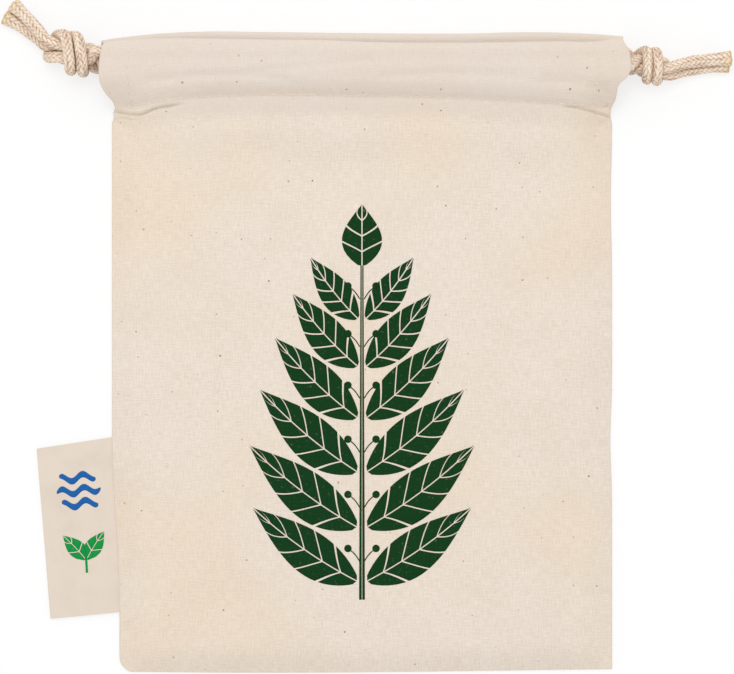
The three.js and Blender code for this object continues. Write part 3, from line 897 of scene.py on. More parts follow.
class OverhandPath:
    """A doubled overhand knot in units of its strand spacing: u outwards, v across, w up.

    Two strands enter side by side through the core, leave it at the outer end, wrap once round
    everything towards the inner end and go out again through the core. Turned half round about w, the
    way out is the way in run backwards.
    """

    wrap = 1.5
    squareness = 3.2
    reach = 156.0
    steps = 14
    top = 0.55
    upper_neck = [[-1.6, -0.25, 0.78], [-1.05, -0.46, 0.5]]
    upper_turn = [
        [-0.4, -0.5, 0.5], [0.4, -0.5, 0.5], [1.15, -0.54, 0.38],
        [1.7, -0.6, -0.15], [1.92, -0.54, -0.85], [1.76, -0.16, -1.4],
    ]
    lower_neck = [[-2.1, -0.86, -0.85], [-1.6, -0.6, -0.6], [-1.2, -0.5, -0.5]]
    lower_turn = [
        [-0.8, -0.5, -0.5], [-0.1, -0.5, -0.5], [0.34, -0.55, -0.68],
        [0.58, -0.5, -1.08], [0.62, -0.12, -1.44],
    ]

    def wrap_points(self, top: float, ease: float) -> Array:
        """The wrap: a superellipse in v and w; u goes with its angle, or its half angle's sine."""
        degrees = np.linspace(self.reach, -self.reach, self.steps + 1)
        angle, power = np.radians(degrees), self.squareness
        v, w = np.sin(angle), np.cos(angle)
        reach = self.wrap / (np.abs(v) ** power + np.abs(w) ** power) ** (1 / power)
        foot = math.sin(math.radians(self.reach) / 2)
        climb = mix(degrees / self.reach, np.sin(angle / 2) / foot, ease)
        return np.stack([top + climb, reach * v, reach * w], axis=1)

    def strand(self, upper: bool, ease: float) -> Array:
        """One strand's way through the knot, from its neck to its tail."""
        neck = self.upper_neck if upper else self.lower_neck
        turn = self.upper_turn if upper else self.lower_turn
        way_out = np.array(self.lower_turn if upper else self.upper_turn)[::-1] * [-1, -1, 1]
        wrapped = self.wrap_points(self.top if upper else -self.top, ease)
        return np.concatenate([neck, turn, wrapped, way_out])


def catmull_rom(points: Array, steps: int) -> Array:
    """A centripetal Catmull-Rom curve through points, with so many steps between two of them."""
    p = np.concatenate([[2 * points[0] - points[1]], points, [2 * points[-1] - points[-2]]])
    gap = np.sqrt(np.linalg.norm(np.diff(p, axis=0), axis=1))[:, None]
    d0, d1, d2 = gap[:-2], gap[1:-1], gap[2:]
    p0, p1, p2, p3 = p[:-3], p[1:-2], p[2:-1], p[3:]
    t0 = ((p1 - p0) / d0 - (p2 - p0) / (d0 + d1) + (p2 - p1) / d1) * d1
    t1 = ((p2 - p1) / d1 - (p3 - p1) / (d1 + d2) + (p3 - p2) / d2) * d1
    s = (np.arange(steps) / steps)[None, :, None]
    p1, p2, t0, t1 = (x[:, None] for x in (p1, p2, t0, t1))
    return np.concatenate([hermite(s, p1, p2, t0, t1).reshape(-1, 3), points[-1:]])


def evenly(points: Array, step: float) -> Array:
    """The line again, with points about one step apart along it."""
    along = lengths_along(points)
    at = np.linspace(0, along[-1], max(2, round(along[-1] / step) + 1))
    return np.stack([np.interp(at, along, points[:, k]) for k in range(3)], axis=1)


def carried_frames(points: Array) -> tuple[Array, Array, Array]:
    """Directions along a line, with two across it that turn no more than the line makes them.

    Args:
        points: The line, n by 3.

    Returns:
        Tangents, normals, of which the first is nearest to straight up, and binormals, each n by 3.
    """
    tangent = np.gradient(points, axis=0)
    tangent /= np.linalg.norm(tangent, axis=1, keepdims=True)
    normals = []
    normal = np.array([0.0, 0.0, 1.0])
    for ahead in tangent:
        normal = normal - ahead * (normal @ ahead)
        normal = normal / np.linalg.norm(normal)
        normals.append(normal)
    return tangent, np.array(normals), np.cross(tangent, np.array(normals))


@dataclass
class Braid:
    """Surface of a round braid: strands wound both ways, each over and under those of the other way."""

    strands: int = 8
    pitch: float = 17.0
    relief: float = 0.26

    def height(self, turn: Array, along: Array) -> Array:
        """Height of the braid from 0 in its grooves to 1.

        A strand of one way is a band of a = strands x turn + along / lay, one of the other way a band
        of b = strands x turn - along / lay. Each has a rounded section across its band and rises and
        sinks along it as a cosine, in step with its neighbours; the higher of the two is seen.

        Args:
            turn: Place round the cord, 0 to 1.
            along: Place along the cord.

        Returns:
            The height at each point.
        """
        lay = self.pitch / self.strands
        a, b = self.strands * turn + along / lay, self.strands * turn - along / lay
        return np.maximum(self._band(a, b - 1), self._band(b, a - 3))

    @staticmethod
    def _band(across: Array, beside: Array) -> Array:
        """One way's strands: rounded across, and lifted where they pass over."""
        number = np.floor(across)
        offset = 2 * (across - number) - 1
        rounded = np.sqrt(np.maximum(1 - offset**2, 0))
        lifted = smooth(0.5 + 0.8 * np.cos(math.pi / 2 * (beside + number)))
        return rounded * (0.3 + 0.7 * lifted)


@dataclass
class CordLine:
    """A cord's centre line with the radius it has at each point."""

    points: Array
    radius: Array


def squeezed(own: Array, spokes: Array, radius: Array, others: Array, skip: Array) -> Array:
    """Radius of a cord where it presses against others: each point stops halfway to the nearest one.

    Args:
        own: Centres of the rings, n by 3.
        spokes: Unit directions from each centre, n by m by 3.
        radius: Radius with nothing near, n by m.
        others: Points of the other centre lines, k by 3.
        skip: For each ring and other point, whether it is the cord's own neighbourhood.

    Returns:
        The radius of each spoke: a soft least of its own radius and its distance to the halfway plane.
    """
    nearby, free, least, tiny = 10.0, 50.0, 0.4, 1e-6
    away = others[None] - own[:, None]
    far = np.where(skip, np.inf, np.square(away).sum(2))
    near = far < nearby**2
    limit = np.full(radius.shape, free)
    for k in np.flatnonzero(near.any(axis=1)):
        towards = spokes[k] @ away[k, near[k]].T
        reach = np.where(towards > tiny, far[k, near[k]] / (2 * np.maximum(towards, tiny)), free)
        limit[k] = reach.min(axis=1)
    return (radius**-8.0 + np.maximum(limit, least) ** -8.0) ** -0.125


def padded(values: Array) -> Array:
    """A line's values with its first and last ones again for the three rings of each end's dome."""
    return np.concatenate([values[:1]] * 3 + [values] + [values[-1:]] * 3)


def tube(
    name: str, line: CordLine, sides: int, finish: Material,
    others: Array | None = None, tip: float = 0.0,
) -> Object:
    """A braided cord along a line, its ends closed by domes.

    Args:
        name: The piece's name.
        line: Its centre line and radii.
        sides: Points round each ring.
        finish: Its material.
        others: Points of the cords that it presses against, besides itself.
        tip: Length of the flared, frayed stretch before the cut end, or 0.

    Returns:
        The object, with its UV map and the values groove and tip.
    """
    own_step, own_reach, surface, middle, braid = 4, 8.0, 0.03, 0.7, Braid()
    tangent, normal, binormal = carried_frames(line.points)
    turn = np.arange(sides) / sides
    spokes = spokes_round(normal, binormal, sides)
    along = lengths_along(line.points)
    radius = plain = np.repeat(line.radius[:, None], sides, axis=1)
    if others is not None:
        beside = np.concatenate([others, line.points[::own_step]])
        skip = np.zeros((len(line.points), len(beside)), bool)
        skip[:, len(others):] = np.abs(along[:, None] - along[None, ::own_step]) < own_reach
        radius = squeezed(line.points, spokes, radius, beside, skip)
    height = braid.height(turn[None], along[:, None])
    radius = radius + braid.relief * (height - middle) * np.minimum(radius / plain, 1) ** 2
    points = line.points[:, None] + spokes * radius[..., None]
    points[..., 2] = np.maximum(points[..., 2], surface)
    caps = []
    for ring, sign in ((0, -1.0), (-1, 1.0)):
        bulge = 0.04 if tip and sign > 0 else 0.15
        for share in (0.8, 0.45, 0.15):
            inner = mix(line.points[ring], points[ring], share)
            caps.append(inner + tangent[ring] * sign * bulge * line.radius[ring] * (1 - share**2))
    rings = np.stack([*caps[2::-1], *points, *caps[3:]])
    poles = [rings[0].mean(axis=0), rings[-1].mean(axis=0)]
    vertices = np.concatenate([rings.reshape(-1, 3), poles])
    made = link_mesh(name, vertices, tube_faces(len(rings), sides), finish)
    places = np.broadcast_arrays(turn * 2 * math.pi * SIZES.cord_radius, padded(along)[:, None])
    places = np.stack(places, axis=-1).reshape(-1, 2)
    set_uv(made, np.concatenate([places, [[0, along[0]], [0, along[-1]]]]))
    # painted shade: darker where the braid lies low, in its grooves
    cord_shade_and_tone = np.clip(padded(1 - height) * 1.2 - 0.15, 0, 1)
    set_value(made, "cord_shade_and_tone", np.append(cord_shade_and_tone, [0.5, 0.5]))
    ending = padded(smooth((along - along[-1] + tip) / tip)) if tip else np.zeros(len(rings))
    set_value(made, "tip", 0.4 * np.append(np.repeat(ending, sides), [0.0, ending[-1]]))
    return made


@dataclass(frozen=True)
class FrayedEnd:
    """The loose yarns of a cord's cut end: a tuft that stands out of the braid and spreads a little."""

    yarns: int = 130
    root: float = 1.2
    reach: float = 0.8
    radius: float = 0.25
    sides: int = 5
    seed: int = 7

    def build(self, name: str, line: CordLine, finish: Material) -> Object:
        """Makes the tuft.

        The yarns stand on a sunflower's spiral across the cut: yarn k at 0.92 of the cord's radius
        times the root of k / n, at k golden angles. Each runs along the cord, drifts outwards with the
        square of its way, and thins to a point.

        Args:
            name: The piece's name.
            line: The cord's centre line, which ends at the cut.
            finish: The cord's material.

        Returns:
            The object, with the values groove and tip.
        """
        random, one_each = np.random.default_rng(self.seed), (self.yarns, 1, 1)
        tangent, normal, binormal = (v[-1] for v in carried_frames(line.points))
        k = np.arange(self.yarns)
        angle = k * math.pi * (3 - math.sqrt(5)) + random.uniform(-0.3, 0.3, self.yarns)
        out = 0.92 * line.radius[-1] * np.sqrt((k + 0.5) / self.yarns)
        outwards = np.cos(angle)[:, None] * normal + np.sin(angle)[:, None] * binormal
        s = np.linspace(0, 1, 5)[None, :, None]
        long = self.reach * random.uniform(0.45, 1.0, self.yarns) * (1.3 - 0.5 * (k + 0.5) / self.yarns)
        ahead = mix(-self.root, long[:, None, None], s)
        out = out[:, None, None]
        drift = (0.1 * out + random.uniform(-0.2, 0.2, one_each)) * s**2
        bent = np.cross(tangent, outwards)[:, None] * random.uniform(-0.5, 0.5, one_each) * s**2
        spine = line.points[-1] + ahead * tangent + (out + drift) * outwards[:, None] + bent
        spine[..., 2] = np.maximum(spine[..., 2], self.radius + 0.05)
        wide = self.radius * np.array([1.0, 1.0, 0.95, 0.75, 0.4])
        rings = spine[:, :, None] + spokes_round(normal, binormal, self.sides) * wide[:, None, None]
        poles = np.stack([spine[:, 0], spine[:, -1] + 0.12 * tangent], axis=1)
        points = np.concatenate([rings.reshape(self.yarns, -1, 3), poles], axis=1)
        each = points.shape[1]
        points = points.reshape(-1, 3)
        faces = copied(tube_faces(len(wide), self.sides), each, self.yarns)
        made = link_mesh(name, points, faces, finish)
        set_uv(made, points[:, :2])
        # each yarn's own tone, darker or lighter at random
        set_value(made, "cord_shade_and_tone", np.repeat(random.uniform(0.0, 0.55, self.yarns), each))
        set_value(made, "tip", np.repeat(random.uniform(0.2, 0.9, self.yarns), each))
        return made


@dataclass
class Drawcord:
    """One drawcord: knotted outside one end of the casings, held round the other end."""

    side: Side
    front_run: float
    back_run: float
    knot: Knot
    upper_tail: list[list[float]]
    lower_tail: list[list[float]]
    finish: Material
    knot_radius: float = 2.3
    tightness: float = 0.46
    free_step: float = 0.3
    held_step: float = 0.42
    bend_gap: float = 3.0

    def knot_middle(self) -> Array:
        """Middle of the knot."""
        spacing = self.knot.spacing * SIZES.cord_diameter
        return np.array([
            self.side.value * (SIZES.casing_end + self.knot.out * spacing),
            (self.front_run + self.back_run) / 2 + self.knot.up * spacing,
            0.05 + (self.knot.sit + self.tightness) * spacing,
        ])

    def placed(self, local: Array) -> Array:
        """Points of the knot's own frame in the bag's: turned by its rise, leaning outwards below."""
        sign, knot = self.side.value, self.knot
        tilt, roll = math.radians(knot.rise), math.radians(knot.roll)
        outwards = np.array([sign * math.cos(tilt), math.sin(tilt), 0])
        sideways = np.array([-sign * math.sin(tilt), math.cos(tilt), 0]) * knot.across
        u, v, w = local.T[:, :, None]
        sine, cosine = math.sin(roll), math.cos(roll)
        high, wide = w * cosine + v * sine, v * cosine - w * sine
        way = high * [0, 0, 1] + outwards * (u - knot.lean * w) + sideways * wide
        return self.knot_middle() + knot.spacing * SIZES.cord_diameter * way

    def free_line(self, upper: bool) -> CordLine:
        """Centre line of one free end: out of a casing, through the knot, to the cut tail."""
        sign = self.side.value
        run_y = self.front_run if upper else self.back_run
        run_z = SIZES.front_run_z if upper else SIZES.back_run_z
        out = [SIZES.run_start + share * SIZES.cord_diameter for share in (0, 0.15, 0.3)]
        start = [[sign * x, run_y, run_z] for x in out]
        knotted = self.placed(OverhandPath().strand(upper, self.knot.ease))
        tail = np.array(self.lower_tail if upper else self.upper_tail) * SIZES.cord_diameter
        middle = self.knot_middle()
        tail = np.stack([middle[0] + sign * tail[:, 0], middle[1] + tail[:, 1], tail[:, 2]], axis=1)
        steps = 24
        curve = catmull_rom(np.concatenate([start, knotted, tail]), steps)
        enter, leave = len(start) * steps, (len(start) + len(knotted) - 1) * steps
        at = np.arange(len(curve))
        outside = np.maximum(np.maximum(enter - at, at - leave), 0) / steps
        radius = mix(self.knot_radius, SIZES.cord_radius, smooth((outside - 0.5) / 1.5))
        along = lengths_along(curve)
        points = evenly(curve, self.free_step)
        even = lengths_along(points)
        thick = np.interp(even * along[-1] / even[-1], along, radius)
        left_over = even[-1] - even
        flare = 1 + 0.1 * smooth((20 - left_over) / 6) + 0.28 * smooth((6 - left_over) / 6)
        return CordLine(points, thick * flare)

    def held_line(self) -> CordLine:
        """Centre line of the held stretch: one casing, the return bend, the other casing."""
        sign = self.side.value
        front = np.array([sign * SIZES.run_start, self.front_run, SIZES.front_run_z])
        back = np.array([sign * SIZES.run_start, self.back_run, SIZES.back_run_z])
        bend = np.linalg.norm(front - back) / 2
        middle = (front + back) / 2
        middle[0] = -sign * (SIZES.casing_end - self.bend_gap - bend)
        angle = np.linspace(0, math.pi, 25)[:, None]
        turned = middle + (front - back) / 2 * np.cos(angle) + [-sign * bend, 0, 0] * np.sin(angle)
        points = evenly(np.concatenate([[front], turned, [back]]), self.held_step)
        return CordLine(points, np.full(len(points), SIZES.cord_radius))

    def build(self) -> None:
        word = self.side.word
        body = f"{word}_drawcord"
        lines = {True: self.free_line(True), False: self.free_line(False)}
        for upper, place in ((True, "front"), (False, "back")):
            line, other = lines[upper], lines[not upper]
            name = f"{word}_cord_{place}_end"
            made = tube(f"{name}_braid", line, 48, self.finish, others=other.points[::4], tip=3.0)
            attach(made, body)
            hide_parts(name)
            tuft = FrayedEnd().build(f"{name}_fray", line, self.finish)
            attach(tuft, body)
        held = tube(f"{word}_cord_held_braid", self.held_line(), 36, self.finish)
        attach(held, body)
        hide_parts(f"{word}_cord_loop")
        LOG.info("%s made", held.name)


# Cloth


class BagShape:
    """Where the bag's cloth lies: the formulas that the cloth, the sewing and the print share."""

    # For each layer and side, the casing's end: places up the bag, and x at each.
    ends = {
        (Layer.FRONT, Side.LEFT): (
            [93.5, 95.5, 97.1, 99.0, 101.8, 106.0, 110.5, 117.1, 121.1, 123.5],
            [-99.3, -99.2, -98.4, -99.0, -101.5, -103.7, -104.1, -103.6, -102.6, -101.8],
        ),
        (Layer.FRONT, Side.RIGHT): (
            [93.0, 95.5, 97.4, 99.7, 102.5, 106.2, 108.5, 110.5, 117.1, 120.0, 122.2, 123.5],
            [99.5, 99.2, 99.6, 100.8, 101.2, 102.2, 105.0, 106.0, 106.0, 105.2, 103.6, 103.4],
        ),
        (Layer.BACK, Side.LEFT): (
            [93.0, 97.2, 101.8, 106.0, 110.0, 118.0, 122.3, 125.0],
            [-99.4, -98.6, -101.0, -103.0, -103.6, -103.9, -104.2, -103.6],
        ),
        (Layer.BACK, Side.RIGHT): (
            [93.0, 97.2, 101.8, 106.0, 110.0, 118.0, 122.3, 125.0],
            [99.4, 99.2, 101.0, 102.4, 104.8, 105.2, 104.6, 104.2],
        ),
    }
    # X, and how far the stitched row and the casings' folds lie off their mean lines there.
    row_line = (
        [-100, -86.8, -71.2, -36.8, 0, 36.8, 75.2, 100],
        [-4.2, -3.0, -0.9, 0.6, 0.2, -0.6, -2.7, -4.2],
    )
    fold_lines = {
        Layer.FRONT: (
            [-106, -90, -37, -13, 3, 37, 75, 90, 98, 106],
            [-0.6, 0.6, 0.5, 0.2, -0.5, -0.7, -0.2, -0.1, 1.1, 2.0],
        ),
        Layer.BACK: (
            [-105, -100, -86, -60, -37, 0, 37, 60, 75, 90, 105],
            [-5.2, -3.9, -1.8, -0.2, -0.4, -0.8, -1.0, -0.5, -0.6, -1.3, -2.6],
        ),
    }
    # Folds under the row: x, y, height of the ridge, depth and half width of the furrow.
    folds = (
        (
            [-97.6, -91.3, -87.7, -82.5, -76.0, -68.0], [95.4, 94.1, 94.1, 96.1, 97.4, 98.4],
            1.1, 1.35, 0.55,
        ),
        ([-95.0, -90.5, -86.0], [92.8, 91.9, 93.0], 0.35, 0.6, 0.5),
        ([76.0, 84.0, 92.0, 98.8], [98.4, 97.0, 95.2, 93.4], 0.9, 1.3, 0.6),
    )
    # Creases across the casing: points (x, y), depth and width.
    casing_marks = (
        ([(-84.0, 107.0), (-66.0, 109.0), (-52.0, 109.6), (-30.0, 107.8)], 0.9, 1.5),
        ([(-44.0, 111.0), (-22.0, 112.6), (3.0, 115.2)], 0.7, 1.3),
        ([(8.0, 108.4), (34.0, 110.4), (60.0, 109.2)], 0.6, 1.5),
        ([(72.0, 107.6), (86.0, 106.4), (97.0, 103.6)], 0.8, 1.6),
    )

    def fold_y(self, x: Array) -> Array:
        """The bottom fold, which sags as a long cosine left of the middle."""
        return SIZES.bottom - SIZES.fold_sag * np.cos(math.pi * (x + SIZES.width / 5) / SIZES.width)

    def body_edge(self, y: Array, side: Side) -> Array:
        """One side below the mouth, the left drawn in beside the label and round at its corner."""
        if side is Side.RIGHT:
            return SIZES.side - (0.7 * bump((y + 36) / 14) + 0.5 * bump((y - 60) / 18))
        beside_label = (SIZES.label_top - y) / (SIZES.label_top - SIZES.label_bottom)
        drawn = SIZES.lower_side_draw * smooth(beside_label)
        over = np.maximum(SIZES.corner_radius - (y - self.fold_y(np.array(-SIZES.side))), 0)
        round_off = SIZES.corner_radius - np.sqrt(np.maximum(SIZES.corner_radius**2 - over**2, 0))
        return -SIZES.side + drawn + round_off

    def edge(self, y: Array, side: Side, layer: Layer = Layer.FRONT) -> Array:
        """One side of a layer: the body's, then smoothly the end of the layer's own casing."""
        places, values = self.ends[layer, side]
        reach = 3
        share = smooth((y - places[0] + reach) / reach)
        flared = mix(side.value * SIZES.side, curve_through(y, places, values), share)
        body = self.body_edge(np.minimum(y, SIZES.flare_from), side)
        return np.where(y > places[0] - reach, flared, body)

    def in_from_side(self, x: Array, y: Array) -> Array:
        """Distance inwards from the nearer side."""
        left, right = (self.body_edge(np.minimum(y, SIZES.flare_from), side) for side in Side)
        return np.minimum(x - left, right - x)

    def casing_edge_z(self, x: Array) -> Array:
        """Underside of the front casing's stitched edge: low at the slits, high between them."""
        inwards = (SIZES.side - np.abs(x)) / SIZES.corner_drop_width
        return mix(SIZES.corner_height, SIZES.front_base, smooth(inwards))

    def front_height(self, x: Array, y: Array) -> Array:
        """Inside height of the front panel: a flat pillow that rises to the casing's edge."""
        inwards = self.in_from_side(x, y)
        above = y - self.fold_y(x) - SIZES.fold_middle
        rise = quarter(inwards / SIZES.edge_round) * quarter(above / SIZES.fold_round)
        belly, top = SIZES.seam_height + SIZES.pocket_fill * rise, SIZES.panel_top
        beside = smooth(inwards / SIZES.corner_drop_width)
        low = mix(SIZES.slit_bottom - 5, 0.7 * SIZES.stitch_line, beside)
        return mix(belly, self.casing_edge_z(x), smooth((y - low) / (top - low)))

    def row_shift(self, x: Array) -> Array:
        """How far the stitched row lies above or below its mean line: it drops towards both ends."""
        return curve_through(x, *self.row_line)

    def fold_shift(self, x: Array, layer: Layer) -> Array:
        """How far a casing's fold lies above or below its own line."""
        return curve_through(x, *self.fold_lines[layer])

    def puckers(self, x: Array, y: Array) -> Array:
        """Soft upright folds that the sewing draws into the cloth, fading down from the mouth."""
        wave = (
            np.cos(2 * math.pi * (x + 1.5 * np.sin(y / 17)) / 11.3 + 0.4)
            + 0.8 * np.cos(2 * math.pi * (x + 2.2 * np.sin(y / 23 + 1)) / 8.1 + 2.0)
            + 0.9 * np.cos(2 * math.pi * x / 17.9 + 1.1 + y / 60)
        ) / 2.7
        depth = 0.07 + 0.22 * np.exp(-np.maximum(SIZES.stitch_line - y, 0) / 28)
        return wave * depth

    def unevenness(self, x: Array, y: Array) -> Array:
        """Broad low waves of cloth that has been folded and laid out."""
        return (
            0.22 * np.sin(x / 21 + 0.7) * np.sin(y / 33 + 0.4)
            + 0.16 * np.sin(x / 13 - y / 38 + 2.1)
            + 0.12 * np.sin(y / 16 + x / 90 + 0.3)
        )

    @staticmethod
    def fold_mark(
        x: Array, y: Array, places: list[float], values: list[float],
        lift: float, drop: float, width: float,
    ) -> Array:
        """A fold along a curve: a rounded ridge above it and a narrow furrow under that.

        Args:
            x: Places along the mouth.
            y: Places up the bag.
            places: Rising x of a few points of the curve.
            values: Their y.
            lift: Height of the ridge.
            drop: Depth of the furrow.
            width: Half the furrow's width.

        Returns:
            How far the fold moves the cloth up.
        """
        d = y - curve_through(x, places, values)
        fade = smooth((x - places[0]) / 4 + 1) * smooth((places[-1] - x) / 9)
        if places[-1] > 0:
            fade = smooth((x - places[0]) / 9) * smooth((places[-1] - x) / 4 + 1)
        return fade * (lift * bump((d - 2.6 * width) / (2.2 * width)) - drop * bump(d / width))

    def creases(self, x: Array, y: Array) -> Array:
        """The folds under the stitched row at both ends."""
        return sum(self.fold_mark(x, y, *fold) for fold in self.folds)

    def streaks(self, x: Array, y: Array) -> Array:
        """Soft creases across the casing, where its cloth has been bunched along the cords."""
        marks = self.casing_marks
        return -sum(depth * bump(away_from_line(x, y, line) / width) for line, depth, width in marks)

    def front_relief(self, x: Array, y: Array) -> Array:
        """Everything that moves the front's outer layer up or down from its plain shape."""
        held = quarter(self.in_from_side(x, y) / 10) * quarter((y - self.fold_y(x)) / 10)
        row = self.row_y(x)
        on_body = smooth((row + 2 - y) / 4)
        dimple = bump((y - row) / 0.8) * (0.4 + 0.12 * np.cos(2 * math.pi * x / 2.6))
        dimple += 1.0 * held * bump((y - row + 8.5) / 4.5)
        ridges = bump((y - SIZES.upper_run) / 1.9) + bump((y - SIZES.lower_run) / 1.9)
        sunk = -0.45 * (1 - clamp(ridges)) * smooth((y - row - 5) / 4)
        soft = held * (self.puckers(x, y) + on_body * self.unevenness(x, y))
        return soft + self.creases(x, y) + (1 - on_body) * self.streaks(x, y) - dimple + sunk

    def row_y(self, x: Array) -> Array:
        """Place up the bag of the stitched row under the front casing."""
        return SIZES.stitch_line + 0.3 + self.row_shift(x)


class BagCloth:
    """The bag's cloth, front and back, from the bottom fold over each casing to its facing."""

    half_columns = 96
    roll_steps = 4
    roll = 0.55
    fold_rows = 8
    body_rows = 205
    coarse_rows = 150
    coarse_to = 0.9
    back_rows = 120
    facing_rows = 14
    turn_rows = 14
    smooth_rows = 22  # the facing's and the last of the casing's fold, which have no relief
    fade_rows = 6
    rows_below = 30
    facing_foot = 101.6
    nominal_side = 99.0
    follow_from = 109.0
    bend_reach = 9.65
    seam_gap = 0.375
    lean = 0.0008
    # where the casings' greyer colour and the painted shade under the stitched row start, and how far
    # up they reach full strength
    double_shade_from = 92.0
    double_shade_reach = 6.0

    def __init__(self, shape: BagShape, finish: Material) -> None:
        """Works out both layers' grids, as they are sewn and before their edges are rolled."""
        self.shape = shape
        self.finish = finish
        flat = np.linspace(0, 1, self.half_columns + 1)
        rolled = np.linspace(0, math.pi / 2, self.roll_steps + 1)[1:]
        edge = np.ones(self.roll_steps)
        self.u = np.concatenate([-edge, -flat[:0:-1], flat, edge])
        self.turn = np.concatenate([rolled[::-1], np.zeros(2 * self.half_columns + 1), rolled])
        self.middle = self.roll_steps + self.half_columns
        self.nominal = self.u[None] * self.nominal_side
        self.grids: dict[Layer, ClothGrid] = {}
        self.unrolled: dict[Layer, Array] = {}
        self._front()
        self._back()

    def _casing_profile(self, fold: float) -> Array:
        """Rows of (y, z) up a casing from its stitches: bend, level top and half round fold."""
        line, shoulder, height = SIZES.stitch_line, SIZES.casing_shoulder, SIZES.casing_height
        half = SIZES.cloth / 2
        edge = np.array([line - SIZES.cloth + 3.6 * half, 2 * SIZES.cloth + 0.1 - 0.9 * half])
        bend = np.array([line + 0.6 * shoulder + half, height - 0.6 - half])
        top = np.array([line + 1.2 * shoulder + half, height - half])
        t = np.linspace(0, 1, 10)[:, None]
        rising = (1 - t) ** 2 * edge + 2 * t * (1 - t) * bend + t**2 * top
        radius = height / 2 - half
        centre = np.array([fold - half - radius, height / 2])
        level = np.linspace(top, centre + [0, radius], round((centre[0] - top[0]) / 1.1) + 1)[1:]
        angle = np.linspace(math.pi / 2, -math.pi / 2, self.turn_rows + 1)[1:, None]
        turned = centre + radius * np.concatenate([np.cos(angle), np.sin(angle)], axis=1)
        return np.concatenate([rising, level, turned])

    def _lined(self, y: Array, fold: float, layer: Layer) -> Array:
        """Places up the bag, moved above follow_from to where the casing's fold runs."""
        share = smooth((y - self.follow_from) / (fold - self.follow_from))
        return y + share * self.shape.fold_shift(self.nominal, layer)

    def _across(self, y: Array, layer: Layer, inner: int) -> tuple[Array, Array]:
        """X of every point: u times the flat half width, then a quarter turn of the roll at the edge.

        Args:
            y: The points' places up the bag.
            layer: Their layer.
            inner: The row at which the facing starts, whose ends are cut back.

        Returns:
            X, and for each row how far it is cut back.
        """
        cut = smooth((np.arange(len(y)) - inner + 3) / 5)[:, None]
        left, right = (self.shape.edge(y, side, layer) for side in Side)
        left = mix(left, np.maximum(left, -SIZES.facing_end), cut)
        right = mix(right, np.minimum(right, SIZES.facing_end), cut)
        flat = np.where(self.u < 0, -left, right) - SIZES.cloth / 2 - self.roll
        return self.u * flat + np.sign(self.u) * self.roll * np.sin(self.turn), cut

    def _keep(self, layer: Layer, points: Array, plain_y: Array, cut: Array, gap: float) -> None:
        """Keeps a layer's points, and its grid with its edges turned to meet the other's at the seam.

        The flat pattern has x as it lies and the length along the middle column.

        Args:
            layer: The layer.
            points: Its points before its edges are rolled.
            plain_y: Places up the bag before the folds' lines move them.
            cut: How far each row is cut back, as from _across; a facing's edges aren't turned.
            gap: How far its edge lies over the other layer's above the slits' bottoms.
        """
        self.unrolled[layer] = points
        z = points[..., 2]
        target = mix(SIZES.fold_middle, z + gap, smooth((plain_y - SIZES.slit_bottom + 0.4) / 2.0))
        points = points.copy()
        points[..., 2] = mix(z, mix(target, z, cut), 1 - np.cos(self.turn)[None])
        length = lengths_along(points[:, self.middle])[:, None]
        flat_x = points[len(points) // 2, :, 0] + np.sign(self.u) * self.turn * 0.4
        self.grids[layer] = ClothGrid(points, np.stack(np.broadcast_arrays(flat_x, length), axis=-1))

    def _front(self) -> None:
        """The front layer: half the bottom fold, panel, casing and facing."""
        shape, facing = self.shape, self.facing_rows
        start = shape.fold_y(self.nominal)
        angle = np.linspace(-math.pi / 2, math.pi / 2, self.fold_rows + 1)[:-1, None]
        fold_y = start + SIZES.fold_middle - SIZES.fold_bend * np.cos(angle)
        fold_z = SIZES.fold_middle + SIZES.fold_bend * np.sin(angle) + 0 * start
        coarse = np.linspace(0, self.coarse_to, self.coarse_rows)
        close = np.linspace(self.coarse_to, 1, self.body_rows - self.coarse_rows + 1)[1:]
        t = np.concatenate([coarse, close])[:, None]
        body_y = mix(start + SIZES.fold_middle, SIZES.panel_top, t)
        profile = self._casing_profile(SIZES.front_fold)
        facing_y = np.linspace(profile[-1, 0], self.facing_foot, facing + 1)[1:]
        level = np.full(facing, SIZES.cloth / 2)
        local = np.concatenate([profile, np.stack([facing_y, level], axis=1)])
        casing_y = np.broadcast_to(local[:, :1], (len(local), len(self.u)))
        plain_y = np.concatenate([fold_y, body_y, casing_y])
        y = self._lined(plain_y, SIZES.front_fold, Layer.FRONT)
        y = y + shape.row_shift(self.nominal) * bump((y - SIZES.stitch_line) / 9)
        x, cut = self._across(y, Layer.FRONT, len(y) - facing)
        casing_x = x[-len(local):]
        drop = 1 - smooth((local[:, :1] - SIZES.stitch_line) / self.bend_reach)
        sunk = drop * (SIZES.front_base - shape.casing_edge_z(casing_x))
        casing_z = SIZES.front_base + local[:, 1:] - sunk
        casing_z = casing_z - (1 - drop) * self.lean * np.abs(casing_x)
        panel_z = shape.front_height(x, plain_y) + SIZES.cloth / 2
        z = np.concatenate([fold_z, panel_z[self.fold_rows:-len(local)], casing_z])
        row, fade = np.arange(len(y))[:, None], self.fade_rows
        rising = (row - self.fold_rows) / (fade - 1)
        falling = (len(y) - self.smooth_rows - 1 - row) / fade
        z = z + clamp(np.minimum(rising, falling)) * shape.front_relief(x, y)
        self._keep(Layer.FRONT, np.stack([x, y, z], axis=-1), plain_y, cut, -self.seam_gap)

